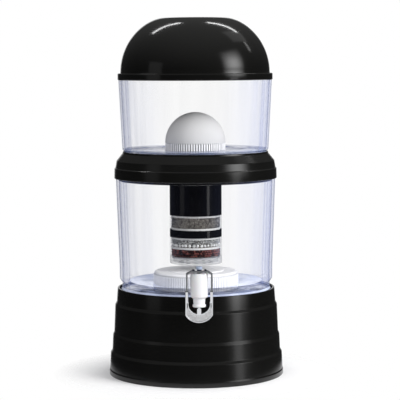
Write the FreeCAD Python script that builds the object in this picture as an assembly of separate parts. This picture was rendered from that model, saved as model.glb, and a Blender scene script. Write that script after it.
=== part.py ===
"""Gravity water filter with a tap: lid, two clear tanks, filters, mineral case, tap and stand.

Millimetres, +Z up. The origin is on the vertical axis at the stand's flat underside. The tap faces -Y.
"""
import FreeCAD
import Part

import math
import os

V = FreeCAD.Vector
UP = V(0, 0, 1)

# Clearances
FIT = 0.3                    # gap between curved faces of pieces that lift apart
RUN = 0.05                   # radial gap of a pin or a shaft that turns or slides in its bore

# Stand
BASE_HEIGHT = 142.0
BASE_RIM_RADIUS = 128.3
BASE_WALL = 3.0
BASE_FOOT_RADIUS = 142.5
BASE_FOOT_HEIGHT = 8.0
BASE_STEPS = (                # height, radius above, radius below
    (116.5, 129.9, 132.5), (67.5, 134.4, 136.4), (37.8, 137.6, 140.4))
STEP_FALL = 4.6              # height over which a step turns outwards
BASE_FOOT_NECK = 141.6
DECK_DEPTH = 4.5             # the deck that carries the lower tank lies this far below the rim
BASE_DECK = BASE_HEIGHT - DECK_DEPTH
DECK_OPENING_RADIUS = 96.0
DECK_RIBS = 6

# Lower tank
TANK_FLOOR_RADIUS = 124.9    # outer radius at the bottom
TANK_TOP_RADIUS = 130.2      # outer radius at the top edge
TANK_HEIGHT = 188.5
TANK_TOP = BASE_DECK + TANK_HEIGHT
TANK_WALL = 4.3
TANK_FLOOR = 4.0
TANK_CORNER = 10.0
TANK_STRAIGHT = 40.0         # height of the upright stretch above the floor

# Collar between the tanks
COLLAR_BAND_RADIUS = 131.9
COLLAR_SHOULDER_RADIUS = 128.6
COLLAR_HEIGHT = 34.5         # from the lower tank's edge to the ledge under the upper tank
COLLAR_SEAT = TANK_TOP + COLLAR_HEIGHT
COLLAR_LIP = 3.9             # height of the lip round the ledge
COLLAR_LIP_TOP = COLLAR_SEAT + COLLAR_LIP
COLLAR_GROOVE = 5.2          # depth of the groove over the lower tank's edge
COLLAR_BAND_HEIGHT = 10.8    # band above the lower tank's edge
COLLAR_NECK_HEIGHT = 13.0    # upright part above the band
COLLAR_LEDGE_RADIUS = 106.0
COLLAR_LEDGE_THICKNESS = 3.0
COLLAR_WALL = 3.2
COLLAR_SKIRT = 9.0           # the skirt reaches this far down inside the lower tank
COLLAR_SKIRT_BOTTOM = TANK_TOP - COLLAR_SKIRT

# Upper tank
UPPER_FOOT_RADIUS = 116.5
UPPER_FLOOR = 4.0
UPPER_FOOT_HEIGHT = 1.5      # foot ring below the floor
UPPER_FOOT_WIDTH = 5.0
UPPER_FLOOR_TOP = COLLAR_SEAT + UPPER_FOOT_HEIGHT + UPPER_FLOOR
UPPER_BOTTOM_RADIUS = 119.0
UPPER_TOP_RADIUS = 124.7
UPPER_HEIGHT = 125.5
UPPER_TOP = COLLAR_SEAT + UPPER_HEIGHT
UPPER_RIM = 6.3              # height of the thinner rim that the lid drops over
UPPER_SHOULDER = UPPER_TOP - UPPER_RIM
UPPER_WALL = 3.2
UPPER_CORNER = 4.0
UPPER_REBATE = 0.8

# Lid
LID_RIM_RADIUS = 126.0
LID_OVERLAP = 6.0            # the lid's rim reaches this far below the upper tank's edge
LID_RIM_BOTTOM = UPPER_TOP - LID_OVERLAP
LID_RIM_HEIGHT = 11.0
LID_RIM_TOP = LID_RIM_BOTTOM + LID_RIM_HEIGHT
LID_DOME_HEIGHT = 89.0
LID_TOP = LID_RIM_TOP + LID_DOME_HEIGHT
LID_DOME_RADIUS = 121.3
LID_CROWN_RADIUS = 52.0
LID_WALL = 2.8
LID_BEND_OUT = 1.65          # exponents of the dome's curve
LID_BEND_UP = 2.05

# Dome filter
DOME_RADIUS = 49.0
DOME_WALL = 6.0
DOME_CUP_HEIGHT = 11.4
DOME_SEAT = UPPER_FLOOR_TOP + DOME_CUP_HEIGHT
DOME_RING_RADIUS = 48.9
DOME_RIB_COUNT = 72
DOME_RIB_DEPTH = 0.9
DOME_RING_WALL = 2.6
DOME_PLATE = 3.0
STEM_RADIUS = 10.0
STEM_BORE = 6.0
STEM_REACH = 31.0            # the stem reaches this far below the upper tank's floor
STEM_BOTTOM = UPPER_FLOOR_TOP - STEM_REACH
GASKET_RADIUS = 26.0
GASKET_THICKNESS = 3.0
NUT_WASHER_RADIUS = 24.0
NUT_WASHER_THICKNESS = 2.5
NUT_HEIGHT = 9.0
NUT_RADIUS = 15.0
NUT_WING_REACH = 26.0
NUT_WING_THICKNESS = 5.0

# Mineral case
CASE_RADIUS = 69.5
CASE_BOTTOM = BASE_DECK + TANK_FLOOR
CASE_BODY_HEIGHT = 16.5
CASE_LID_HEIGHT = 12.0
CASE_SEAM = CASE_BOTTOM + CASE_BODY_HEIGHT
CASE_TOP = CASE_SEAM + CASE_LID_HEIGHT
CASE_CENTRE_RISE = 1.2       # the slotted centre stands this far above the shoulder
CASE_WALL = 2.4
CASE_RIB_COUNT = 132
CASE_RIB_DEPTH = 0.8
CASE_SHOULDER = 6.0
CASE_PLUG_WALL = 1.6
STONE_RADIUS = 5.5
STONE_SPACE = 1.3            # room for each stone, as a multiple of its own width

# Cartridge
CARTRIDGE_RADIUS = 42.5
CARTRIDGE_WALL = 2.0
CARTRIDGE_ROOM = 11.0        # gap between the cartridge and the mineral case
CARTRIDGE_BOTTOM = CASE_TOP + CARTRIDGE_ROOM
CARTRIDGE_CAP_HEIGHT = 12.0
CARTRIDGE_NECK_DROP = 18.5   # the neck ends this far below the upper tank's floor
CARTRIDGE_NECK_TOP = UPPER_FLOOR_TOP - CARTRIDGE_NECK_DROP
CARTRIDGE_COVER_HEIGHT = 25.5
CARTRIDGE_TOP = CARTRIDGE_NECK_TOP - CARTRIDGE_COVER_HEIGHT
CARTRIDGE_PLUG = 5.0         # the top cap's plug reaches this far into the tube
CARTRIDGE_PLUG_WALL = 3.0
CARTRIDGE_CAP_WALL = 3.6
CARTRIDGE_CAP_FLOOR = 3.0
CARTRIDGE_GRID_THICKNESS = 3.0
CARTRIDGE_NECK_RADIUS = 16.0
CARTRIDGE_COVER_RIM = 4.0    # height of the top cap's rim
PAD_THICKNESS = 3.0
HEADROOM = 9.0               # empty height above the top pad
RED_BALL_HEIGHT = 13.0
BEAD_HEIGHT = 13.0
BLACK_MINERAL_HEIGHT = 12.0
MINERAL_SAND_HEIGHT = 17.5
CARBON_HEIGHT = (CARTRIDGE_TOP - CARTRIDGE_BOTTOM - CARTRIDGE_CAP_HEIGHT - HEADROOM - 5 * PAD_THICKNESS
                 - RED_BALL_HEIGHT - BEAD_HEIGHT - BLACK_MINERAL_HEIGHT - MINERAL_SAND_HEIGHT)
BED_HEIGHTS = (("red_ball_bed", RED_BALL_HEIGHT), ("bead_bed", BEAD_HEIGHT),
               ("black_mineral_bed", BLACK_MINERAL_HEIGHT), ("mineral_sand_bed", MINERAL_SAND_HEIGHT),
               ("carbon_bed", CARBON_HEIGHT))

# Tap
TAP_Y = -163.0
TAP_RADIUS = 13.5
TAP_HEIGHT = 27.5            # middle of the tap's hole above the lower tank's underside
SHANK_HEIGHT = BASE_DECK + TAP_HEIGHT
TAP_BELOW = 17.0             # the body narrows to the spout this far below the shank's axis
TAP_BOTTOM = SHANK_HEIGHT - TAP_BELOW
TAP_ABOVE = 9.0              # joint with the bonnet, above the shank's axis
TAP_SEAM = SHANK_HEIGHT + TAP_ABOVE
BONNET_HEIGHT = 11.0
TAP_TOP = TAP_SEAM + BONNET_HEIGHT
BONNET_PLUG = 4.0            # the bonnet's plug reaches this far into the body
SPOUT_RADIUS = 9.6
SPOUT_BORE = 6.0
SPOUT_LENGTH = 16.0
SPOUT_BOTTOM = TAP_BOTTOM - SPOUT_LENGTH
SPOUT_RING_RADIUS = 10.2
SPOUT_RING_HEIGHT = 4.4
SHANK_RADIUS = 7.5
SHANK_BORE = 4.5
SHANK_END = -98.0
FLANGE_RADIUS = 12.5
FLANGE_THICKNESS = 3.0
WASHER_RADIUS = 12.0
WASHER_THICKNESS = 3.0       # thickness of each rubber washer at the tank's wall
LOCK_NUT_WIDTH = 26.0        # across the flats
LOCK_NUT_THICKNESS = 7.0
CHAMBER_RADIUS = 8.0
SEAT_RISE = 3.0              # valve seat above the narrowing of the body
VALVE_SEAT = TAP_BOTTOM + SEAT_RISE
SEAL_RADIUS = 7.4
SEAL_HEIGHT = 4.0
STEM_ROD_RADIUS = 2.5
STEM_HEAD_RADIUS = 4.9
STEM_HEAD_HEIGHT = 4.3
SPRING_RADIUS = 5.2
SPRING_WIRE = 0.8
SPRING_TURNS = 5.5

# Lever
PIVOT_Y = -171.0
PIVOT_RISE = 3.0             # pin above the bonnet's top
PIVOT_Z = TAP_TOP + PIVOT_RISE
PIN_RADIUS = 1.25
HUB_RADIUS = 2.7
EAR_RADIUS = 2.8
HUB_WIDTH = 7.0
EAR_THICKNESS = 2.4
LEVER_LEAN = 13.5            # degrees that the lever's foot leans back towards the tank
LEVER_HALF_WIDTH = 20.6
LEVER_BAR = 2.8              # width of the arms, seen from the front
LEVER_DEPTH = 4.0
LEVER_CHAMFER_X = 8.0
LEVER_CHAMFER_Z = 3.5
ARM_LENGTH = 34.0
KNUCKLE_LENGTH = 16.0
KNUCKLE_WIDTH = 4.4
KNUCKLE_DEPTH = 6.0
PADDLE_LENGTH = 34.5
PADDLE_HALF_WIDTH = 21.2
PADDLE_THICKNESS = 2.6
PADDLE_SIDE = 22.0           # straight length of the paddle's side
PADDLE_CUT_RADIUS = 16.4
PADDLE_CUT_DEPTH = 20.0
PADDLE_RIM = 1.6
PADDLE_RIM_RISE = 0.8
NUB_HALF_WIDTH = 3.2
NUB_RISE = 10.5
SLOT_WIDTH = 1.2
SLOT_LENGTH = 8.0


def outline(start, *moves):
    """A closed wire in the XZ plane. A move is a point (r, z), or an arc's middle and end points."""
    def point(p):
        return V(p[0], 0, p[1])
    edges = []
    here = start
    for move in moves + (start,):
        if isinstance(move[0], tuple):
            edges.append(Part.Arc(point(here), point(move[0]), point(move[1])).toShape())
            here = move[1]
        elif math.dist(here, move) > 1e-6:
            edges.append(Part.LineSegment(point(here), point(move)).toShape())
            here = move
    return Part.Wire(edges)


def turned(start, *moves):
    """A solid of revolution about the vertical axis."""
    face = Part.Face(outline(start, *moves))
    solid = face.revolve(V(0, 0, 0), UP, 360)
    if solid.Volume < 0:
        solid.reverse()
    return solid


def rounded(a, corner, b, radius):
    """Start point, and arc, that round a corner of an outline between the points a and b."""
    to_a = V(a[0] - corner[0], 0, a[1] - corner[1]).normalize()
    to_b = V(b[0] - corner[0], 0, b[1] - corner[1]).normalize()
    half = to_a.getAngle(to_b) / 2
    reach = radius / math.tan(half)
    bisector = (to_a + to_b).normalize()
    centre = V(corner[0], 0, corner[1]) + bisector * (radius / math.sin(half))
    middle = centre - bisector * radius
    first = V(corner[0], 0, corner[1]) + to_a * reach
    last = V(corner[0], 0, corner[1]) + to_b * reach
    return (first.x, first.z), ((middle.x, middle.z), (last.x, last.z))


def cylinder(radius, bottom, top, x=0.0, y=0.0):
    return Part.makeCylinder(radius, top - bottom, V(x, y, bottom), UP)


def along_y(radius, start, end, x=0.0, z=0.0):
    """A cylinder along the Y axis, from y = start to y = end."""
    return Part.makeCylinder(radius, end - start, V(x, start, z), V(0, 1, 0))


def along_x(radius, start, end, y=0.0, z=0.0):
    """A cylinder along the X axis, from x = start to x = end."""
    return Part.makeCylinder(radius, end - start, V(start, y, z), V(1, 0, 0))


def block(x0, y0, z0, x1, y1, z1):
    return Part.makeBox(x1 - x0, y1 - y0, z1 - z0, V(x0, y0, z0))


def ring(outer, inner, bottom, top):
    return turned((inner, bottom), (outer, bottom), (outer, top), (inner, top))


def around(count, shape, phase=0.0):
    """Copies of a shape at equal angles about the vertical axis."""
    copies = []
    for i in range(count):
        copy = shape.copy()
        copy.rotate(V(0, 0, 0), UP, phase + 360.0 * i / count)
        copies.append(copy)
    return copies


def ribbed(tip, root, count, bottom, top):
    """An upright disc whose edge is a row of equal ribs."""
    points = []
    for i in range(count):
        for share, radius in ((0.0, tip), (0.5, tip), (0.62, root), (0.88, root)):
            angle = 2 * math.pi * (i + share) / count
            points.append(V(radius * math.cos(angle), radius * math.sin(angle), bottom))
    face = Part.Face(Part.makePolygon(points + points[:1]))
    return face.extrude(V(0, 0, top - bottom))


def tank_radius(z):
    """Outer radius of the lower tank above its corner."""
    straight_top = BASE_DECK + TANK_STRAIGHT
    share = max(0.0, (z - straight_top) / (TANK_TOP - straight_top))
    return TANK_FLOOR_RADIUS + (TANK_TOP_RADIUS - TANK_FLOOR_RADIUS) * share


def base_stand():
    """Hollow stepped skirt with a rim, and a ribbed deck that carries the lower tank."""
    outer = []
    inner = []
    rim_start, rim_arc = rounded((BASE_RIM_RADIUS - 2, BASE_HEIGHT), (BASE_RIM_RADIUS, BASE_HEIGHT),
                                 (BASE_RIM_RADIUS + 0.8, BASE_DECK), 1.2)
    outer.append(rim_start)
    outer.append(rim_arc)
    for height, above, below in BASE_STEPS:
        outer.append((above, height + STEP_FALL / 2))
        outer.append((below, height - STEP_FALL / 2))
        inner.append((above - BASE_WALL, height + STEP_FALL / 2 - BASE_WALL))
        inner.append((below - BASE_WALL, height - STEP_FALL / 2 - BASE_WALL))
    outer.append((BASE_FOOT_NECK, BASE_FOOT_HEIGHT + 2))
    outer.append((BASE_FOOT_RADIUS, BASE_FOOT_HEIGHT))
    foot_start, foot_arc = rounded((BASE_FOOT_RADIUS, BASE_FOOT_HEIGHT), (BASE_FOOT_RADIUS, 0),
                                   (BASE_FOOT_RADIUS - BASE_WALL, 0), 1.0)
    outer.append(foot_start)
    outer.append(foot_arc)
    deck_bottom = BASE_DECK - BASE_WALL
    recess = TANK_FLOOR_RADIUS + FIT
    inside = [(BASE_FOOT_NECK - BASE_WALL - 1, 0), (BASE_FOOT_NECK - BASE_WALL - 1, BASE_FOOT_HEIGHT)]
    inside += inner[::-1]
    inside.append((BASE_RIM_RADIUS - BASE_WALL, deck_bottom))
    inside.append((DECK_OPENING_RADIUS, deck_bottom))
    inside.append((DECK_OPENING_RADIUS, BASE_DECK))
    shell = turned((recess, BASE_DECK), (recess, BASE_HEIGHT), *outer, *inside)
    rib = block(0, -BASE_WALL / 2, deck_bottom, DECK_OPENING_RADIUS + 1, BASE_WALL / 2, BASE_DECK)
    spokes = around(DECK_RIBS, rib, 30)
    return shell.fuse(spokes).removeSplitter()


def lower_tank():
    """Clear tank with a rounded bottom edge and a hole for the tap's shank."""
    straight_top = BASE_DECK + TANK_STRAIGHT
    inner = TANK_FLOOR_RADIUS - TANK_WALL
    floor_top = BASE_DECK + TANK_FLOOR
    out_start, out_arc = rounded((0, BASE_DECK), (TANK_FLOOR_RADIUS, BASE_DECK),
                                 (TANK_FLOOR_RADIUS, straight_top), TANK_CORNER)
    in_start, in_arc = rounded((inner, straight_top), (inner, floor_top), (0, floor_top),
                               TANK_CORNER - TANK_WALL)
    lip_start, lip_arc = rounded((tank_radius(TANK_TOP - 9), TANK_TOP - 9), (TANK_TOP_RADIUS, TANK_TOP),
                                 (TANK_TOP_RADIUS - TANK_WALL, TANK_TOP), 0.8)
    tank = turned((0, BASE_DECK), out_start, out_arc, (TANK_FLOOR_RADIUS, straight_top), lip_start, lip_arc,
                  (TANK_TOP_RADIUS - TANK_WALL, TANK_TOP), (inner, straight_top), in_start, in_arc,
                  (0, floor_top))
    hole = along_y(SHANK_RADIUS + FIT, -TANK_FLOOR_RADIUS - 5, SHANK_END, z=SHANK_HEIGHT)
    return tank.cut(hole)


def collar():
    """Ring that sits on the lower tank's edge and carries the upper tank."""
    groove_out = TANK_TOP_RADIUS + FIT
    groove_in = TANK_TOP_RADIUS - TANK_WALL - FIT
    skirt = groove_in - COLLAR_WALL
    skirt_foot = tank_radius(COLLAR_SKIRT_BOTTOM) - TANK_WALL - FIT
    lip = UPPER_FOOT_RADIUS + FIT
    ledge_bottom = COLLAR_SEAT - COLLAR_LEDGE_THICKNESS
    band_top = TANK_TOP + COLLAR_BAND_HEIGHT
    shoulder_top = band_top + COLLAR_NECK_HEIGHT
    return turned(
        (skirt, COLLAR_SKIRT_BOTTOM), (skirt_foot, COLLAR_SKIRT_BOTTOM), (groove_in, TANK_TOP),
        (groove_out, TANK_TOP), (groove_out, TANK_TOP - COLLAR_GROOVE),
        ((groove_out + 0.7, TANK_TOP - COLLAR_GROOVE - 0.4),
         (COLLAR_BAND_RADIUS, TANK_TOP - COLLAR_GROOVE + 1.6)),
        (COLLAR_BAND_RADIUS - 0.4, band_top), (COLLAR_BAND_RADIUS - 2.0, band_top + 1.6),
        (COLLAR_SHOULDER_RADIUS, shoulder_top - 2.2),
        ((COLLAR_SHOULDER_RADIUS - 0.6, shoulder_top - 0.2),
         (COLLAR_SHOULDER_RADIUS - 2.2, shoulder_top + 1.6)),
        (lip + 1.6, COLLAR_LIP_TOP - 2.6),
        ((lip + 1.1, COLLAR_LIP_TOP - 0.7), (lip + 0.2, COLLAR_LIP_TOP)),
        (lip, COLLAR_LIP_TOP), (lip, COLLAR_SEAT), (COLLAR_LEDGE_RADIUS, COLLAR_SEAT),
        (COLLAR_LEDGE_RADIUS, ledge_bottom), (lip - 1.8, ledge_bottom),
        (COLLAR_SHOULDER_RADIUS - 5.4, shoulder_top - 2.2),
        (COLLAR_SHOULDER_RADIUS - COLLAR_WALL, shoulder_top - 5),
        (COLLAR_SHOULDER_RADIUS - COLLAR_WALL, TANK_TOP + 9), (skirt, TANK_TOP + 3))


def upper_tank():
    """Clear tank with a foot ring, a hole for the filter's stem and a stepped top edge."""
    underside = UPPER_FLOOR_TOP - UPPER_FLOOR
    foot_inner = UPPER_FOOT_RADIUS - UPPER_FOOT_WIDTH
    start_height = UPPER_FLOOR_TOP + 2.5
    inner_bottom = UPPER_BOTTOM_RADIUS - UPPER_WALL
    inner_top = UPPER_TOP_RADIUS - UPPER_WALL
    rim = UPPER_TOP_RADIUS - UPPER_REBATE
    in_start, in_arc = rounded((inner_top, UPPER_SHOULDER), (inner_bottom, UPPER_FLOOR_TOP),
                               (0, UPPER_FLOOR_TOP), UPPER_CORNER)
    tank = turned(
        (0, underside), (foot_inner, underside), (foot_inner + 0.8, COLLAR_SEAT),
        (UPPER_FOOT_RADIUS, COLLAR_SEAT),
        (UPPER_FOOT_RADIUS, COLLAR_LIP_TOP + 0.6),
        ((UPPER_BOTTOM_RADIUS - 0.8, COLLAR_LIP_TOP + 1.6), (UPPER_BOTTOM_RADIUS, start_height)),
        (UPPER_TOP_RADIUS, UPPER_SHOULDER), (rim, UPPER_SHOULDER + 0.2), (rim, UPPER_TOP),
        (inner_top, UPPER_TOP), (inner_top, UPPER_SHOULDER), in_start, in_arc, (0, UPPER_FLOOR_TOP))
    hole = cylinder(STEM_RADIUS + FIT, underside - 1, UPPER_FLOOR_TOP + 1)
    return tank.cut(hole)


def dome_curve(radius, crown, bottom, top):
    """Edge of the lid's outline, from its outer foot up to the flat crown."""
    points = []
    for step in (0.0, 0.25, 0.5, 0.68, 0.82, 0.92, 0.975, 1.0):
        rise = step ** LID_BEND_UP
        reach = (1.0 - rise) ** (1.0 / LID_BEND_OUT)
        points.append(V(crown + (radius - crown) * reach, 0, bottom + (top - bottom) * step))
    curve = Part.BSplineCurve()
    curve.interpolate(points)
    return curve.toShape(), points


def lid():
    """Domed cover with a flat crown and a rim that drops over the upper tank's edge."""
    outer_edge, outer_points = dome_curve(LID_DOME_RADIUS, LID_CROWN_RADIUS, LID_RIM_TOP, LID_TOP)
    inner_edge, inner_points = dome_curve(LID_DOME_RADIUS - LID_WALL, LID_CROWN_RADIUS - LID_WALL / 2,
                                          LID_RIM_TOP, LID_TOP - LID_WALL)
    lip = UPPER_TOP_RADIUS - UPPER_REBATE + FIT
    top_start, top_arc = rounded((LID_RIM_RADIUS, LID_RIM_BOTTOM), (LID_RIM_RADIUS, LID_RIM_TOP),
                                 (LID_DOME_RADIUS, LID_RIM_TOP), 1.8)
    low_start, low_arc = rounded((lip, LID_RIM_BOTTOM), (LID_RIM_RADIUS, LID_RIM_BOTTOM),
                                 (LID_RIM_RADIUS, LID_RIM_TOP), 1.2)
    corners = [
        (LID_DOME_RADIUS - LID_WALL, LID_RIM_TOP), (LID_DOME_RADIUS - LID_WALL, UPPER_TOP), (lip, UPPER_TOP),
        (lip, LID_RIM_BOTTOM), low_start, low_arc, top_start, top_arc, (LID_DOME_RADIUS, LID_RIM_TOP)]
    edges = []
    here = corners[0]
    for move in corners[1:]:
        if isinstance(move[0], tuple):
            middle, end = move
            points = [V(p[0], 0, p[1]) for p in (here, middle, end)]
            edges.append(Part.Arc(*points).toShape())
            here = end
        else:
            edges.append(Part.LineSegment(V(here[0], 0, here[1]), V(move[0], 0, move[1])).toShape())
            here = move
    crown_top = V(0, 0, LID_TOP)
    crown_under = V(0, 0, LID_TOP - LID_WALL)
    edges.append(outer_edge)
    edges.append(Part.LineSegment(outer_points[-1], crown_top).toShape())
    edges.append(Part.LineSegment(crown_top, crown_under).toShape())
    edges.append(Part.LineSegment(crown_under, inner_points[-1]).toShape())
    edges.append(inner_edge)
    solid = Part.Face(Part.Wire(Part.__sortEdges__(edges))).revolve(V(0, 0, 0), UP, 360)
    if solid.Volume < 0:
        solid.reverse()
    return solid


def dome_ceramic():
    """Hollow ceramic dome that the water seeps through."""
    centre = DOME_SEAT + 1.2
    inner = DOME_RADIUS - DOME_WALL
    diagonal = math.sqrt(0.5)
    return turned(
        (inner, DOME_SEAT), (DOME_RADIUS, DOME_SEAT), (DOME_RADIUS, centre),
        ((DOME_RADIUS * diagonal, centre + DOME_RADIUS * diagonal), (0, centre + DOME_RADIUS)),
        (0, centre + inner), ((inner * diagonal, centre + inner * diagonal), (inner, centre)))


def dome_base():
    """Ribbed cup under the ceramic dome, in one piece with its threaded hollow stem."""
    bottom = UPPER_FLOOR_TOP + 0.1
    plate_bottom = DOME_SEAT - DOME_PLATE
    cup = ribbed(DOME_RING_RADIUS, DOME_RING_RADIUS - DOME_RIB_DEPTH, DOME_RIB_COUNT, bottom, DOME_SEAT)
    hollow = DOME_RING_RADIUS - DOME_RIB_DEPTH - DOME_RING_WALL
    cup = cup.cut(ring(hollow, GASKET_RADIUS + 3, bottom - 1, plate_bottom))
    cup = cup.cut(cylinder(GASKET_RADIUS + FIT, bottom - 1, UPPER_FLOOR_TOP + GASKET_THICKNESS))
    stem = cylinder(STEM_RADIUS, STEM_BOTTOM, DOME_SEAT)
    return cup.fuse(stem).cut(cylinder(STEM_BORE, STEM_BOTTOM - 1, DOME_SEAT + 1))


def dome_gasket():
    return ring(GASKET_RADIUS, STEM_RADIUS + FIT, UPPER_FLOOR_TOP, UPPER_FLOOR_TOP + GASKET_THICKNESS)


def dome_washer():
    underside = UPPER_FLOOR_TOP - UPPER_FLOOR
    return ring(NUT_WASHER_RADIUS, STEM_RADIUS + FIT, underside - NUT_WASHER_THICKNESS, underside)


def dome_nut():
    """Wing nut that clamps the dome filter to the upper tank's floor."""
    top = UPPER_FLOOR_TOP - UPPER_FLOOR - NUT_WASHER_THICKNESS
    body = cylinder(NUT_RADIUS, top - NUT_HEIGHT, top)
    wings = block(-NUT_WING_REACH, -NUT_WING_THICKNESS / 2, top - NUT_HEIGHT, NUT_WING_REACH,
                  NUT_WING_THICKNESS / 2, top - 1.5)
    return body.fuse(wings).cut(cylinder(STEM_RADIUS + RUN, top - NUT_HEIGHT - 1, top + 1))


def cartridge_levels():
    """Bottom heights of the beds, and of the felt pad on top of each."""
    beds = {}
    pads = []
    z = CARTRIDGE_BOTTOM + CARTRIDGE_CAP_HEIGHT
    for name, height in BED_HEIGHTS:
        beds[name] = (z, z + height)
        pads.append(z + height)
        z += height + PAD_THICKNESS
    return beds, pads


def cartridge_housing():
    bottom = CARTRIDGE_BOTTOM + CARTRIDGE_CAP_HEIGHT
    return ring(CARTRIDGE_RADIUS, CARTRIDGE_RADIUS - CARTRIDGE_WALL, bottom, CARTRIDGE_TOP)


def cartridge_bottom_cap():
    """Cup that closes the cartridge, with outlet holes in its floor and a step for the grid."""
    top = CARTRIDGE_BOTTOM + CARTRIDGE_CAP_HEIGHT
    step = top - CARTRIDGE_GRID_THICKNESS
    floor = CARTRIDGE_BOTTOM + CARTRIDGE_CAP_FLOOR
    start, arc = rounded((0, CARTRIDGE_BOTTOM), (CARTRIDGE_RADIUS, CARTRIDGE_BOTTOM),
                         (CARTRIDGE_RADIUS, top), 1.6)
    cap = turned((0, CARTRIDGE_BOTTOM), start, arc, (CARTRIDGE_RADIUS, top),
                 (CARTRIDGE_RADIUS - CARTRIDGE_CAP_WALL, top), (CARTRIDGE_RADIUS - CARTRIDGE_CAP_WALL, step),
                 (CARTRIDGE_RADIUS - CARTRIDGE_CAP_WALL - 2, step),
                 (CARTRIDGE_RADIUS - CARTRIDGE_CAP_WALL - 2, floor), (0, floor))
    hole = cylinder(2.5, CARTRIDGE_BOTTOM - 1, floor + 1, x=CARTRIDGE_RADIUS * 0.6)
    return cap.cut(around(12, hole))


def cartridge_grid():
    """Perforated disc that carries the lowest bed."""
    top = CARTRIDGE_BOTTOM + CARTRIDGE_CAP_HEIGHT
    disc = cylinder(CARTRIDGE_RADIUS - CARTRIDGE_CAP_WALL - FIT, top - CARTRIDGE_GRID_THICKNESS, top)
    holes = []
    for count, radius in ((6, 9.0), (12, 20.0), (18, 31.0)):
        holes += around(count, cylinder(1.5, CARTRIDGE_BOTTOM, top + 1, x=radius))
    return disc.cut(holes)


def cartridge_top_cap():
    """Cap with a threaded neck that screws on to the dome filter's stem."""
    rim_top = CARTRIDGE_TOP + CARTRIDGE_COVER_RIM
    neck_foot = rim_top + 8.0
    inner = CARTRIDGE_RADIUS - CARTRIDGE_WALL - FIT
    cap = turned(
        (STEM_BORE, rim_top - 2.0), (inner - CARTRIDGE_PLUG_WALL, rim_top - 2.0),
        (inner - CARTRIDGE_PLUG_WALL, CARTRIDGE_TOP - CARTRIDGE_PLUG),
        (inner, CARTRIDGE_TOP - CARTRIDGE_PLUG),
        (inner, CARTRIDGE_TOP), (CARTRIDGE_RADIUS, CARTRIDGE_TOP), (CARTRIDGE_RADIUS, rim_top),
        (CARTRIDGE_NECK_RADIUS + 2, neck_foot), (CARTRIDGE_NECK_RADIUS, neck_foot + 2),
        (CARTRIDGE_NECK_RADIUS, CARTRIDGE_NECK_TOP), (STEM_BORE, CARTRIDGE_NECK_TOP))
    return cap.cut(cylinder(STEM_RADIUS + RUN, STEM_BOTTOM - 0.3, CARTRIDGE_NECK_TOP + 1))


def cartridge_gasket():
    """Rubber ring between the cartridge's neck and the wing nut."""
    nut_bottom = UPPER_FLOOR_TOP - UPPER_FLOOR - NUT_WASHER_THICKNESS - NUT_HEIGHT
    return ring(CARTRIDGE_NECK_RADIUS - 1, STEM_RADIUS + FIT, CARTRIDGE_NECK_TOP, nut_bottom - 0.2)


def felt_pads():
    pads = cartridge_levels()[1]
    radius = CARTRIDGE_RADIUS - CARTRIDGE_WALL - 0.2
    return Part.makeCompound([cylinder(radius, z, z + PAD_THICKNESS) for z in pads])


def bed(name):
    bottom, top = cartridge_levels()[0][name]
    return cylinder(CARTRIDGE_RADIUS - CARTRIDGE_WALL - 0.2, bottom, top)


def mineral_case_body():
    """Ribbed tub for the stones, with drain holes."""
    bottom = CASE_BOTTOM
    tub = ribbed(CASE_RADIUS, CASE_RADIUS - CASE_RIB_DEPTH, CASE_RIB_COUNT, bottom, CASE_SEAM)
    inner = CASE_RADIUS - CASE_RIB_DEPTH - CASE_WALL
    tub = tub.cut(cylinder(inner, bottom + CASE_WALL, CASE_SEAM + 1))
    holes = around(12, cylinder(2.0, bottom - 1, bottom + CASE_WALL + 1, x=inner * 0.72), 15)
    holes += around(6, cylinder(2.0, bottom - 1, bottom + CASE_WALL + 1, x=inner * 0.36))
    return tub.cut(holes)


def mineral_case_lid():
    """Cover with a rounded shoulder, a ribbed edge and a ring of slots in a raised centre."""
    inner = CASE_RADIUS - CASE_RIB_DEPTH - CASE_WALL
    straight = CASE_TOP - CASE_SHOULDER
    shoulder = CASE_TOP - CASE_CENTRE_RISE
    edge = CASE_RADIUS - CASE_RIB_DEPTH
    centre = CASE_RADIUS * 0.66
    start, arc = rounded((edge, straight - 2), (edge, shoulder), (centre, shoulder),
                         CASE_SHOULDER - CASE_CENTRE_RISE)
    dome = turned(
        (0, shoulder - CASE_WALL), (inner - 4, shoulder - CASE_WALL), (inner, straight), (inner, CASE_SEAM),
        (edge, CASE_SEAM), start, arc, (centre, shoulder), (centre - CASE_CENTRE_RISE, CASE_TOP),
        (0, CASE_TOP))
    band = ribbed(CASE_RADIUS, edge, CASE_RIB_COUNT, CASE_SEAM, straight - 0.5)
    band = band.cut(cylinder(edge - 1, CASE_SEAM - 1, straight))
    plug = ring(inner - FIT, inner - FIT - CASE_PLUG_WALL, CASE_SEAM - 3, CASE_SEAM + 0.5)
    link = ring(inner + 0.2, inner - FIT - CASE_PLUG_WALL, CASE_SEAM, CASE_SEAM + 1.0)
    slot = block(centre * 0.45, -0.9, CASE_TOP - 6, centre * 0.86, 0.9, CASE_TOP + 1)
    return dome.fuse([band, plug, link]).cut(around(24, slot)).removeSplitter()


def mineral_stones():
    """Loose round stones on the case's floor."""
    z = CASE_BOTTOM + CASE_WALL + STONE_RADIUS + 0.05
    room = CASE_RADIUS - CASE_RIB_DEPTH - CASE_WALL
    stones = [Part.makeSphere(STONE_RADIUS, V(0, 0, z))]
    lane = room - STONE_RADIUS - 0.6
    while lane > 2 * STONE_RADIUS:
        count = int(math.pi / math.asin(STONE_RADIUS * STONE_SPACE / lane))
        stones += around(count, Part.makeSphere(STONE_RADIUS, V(lane, 0, z)), 7.0)
        lane -= 2 * STONE_RADIUS * STONE_SPACE
    return Part.makeCompound(stones)


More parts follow.
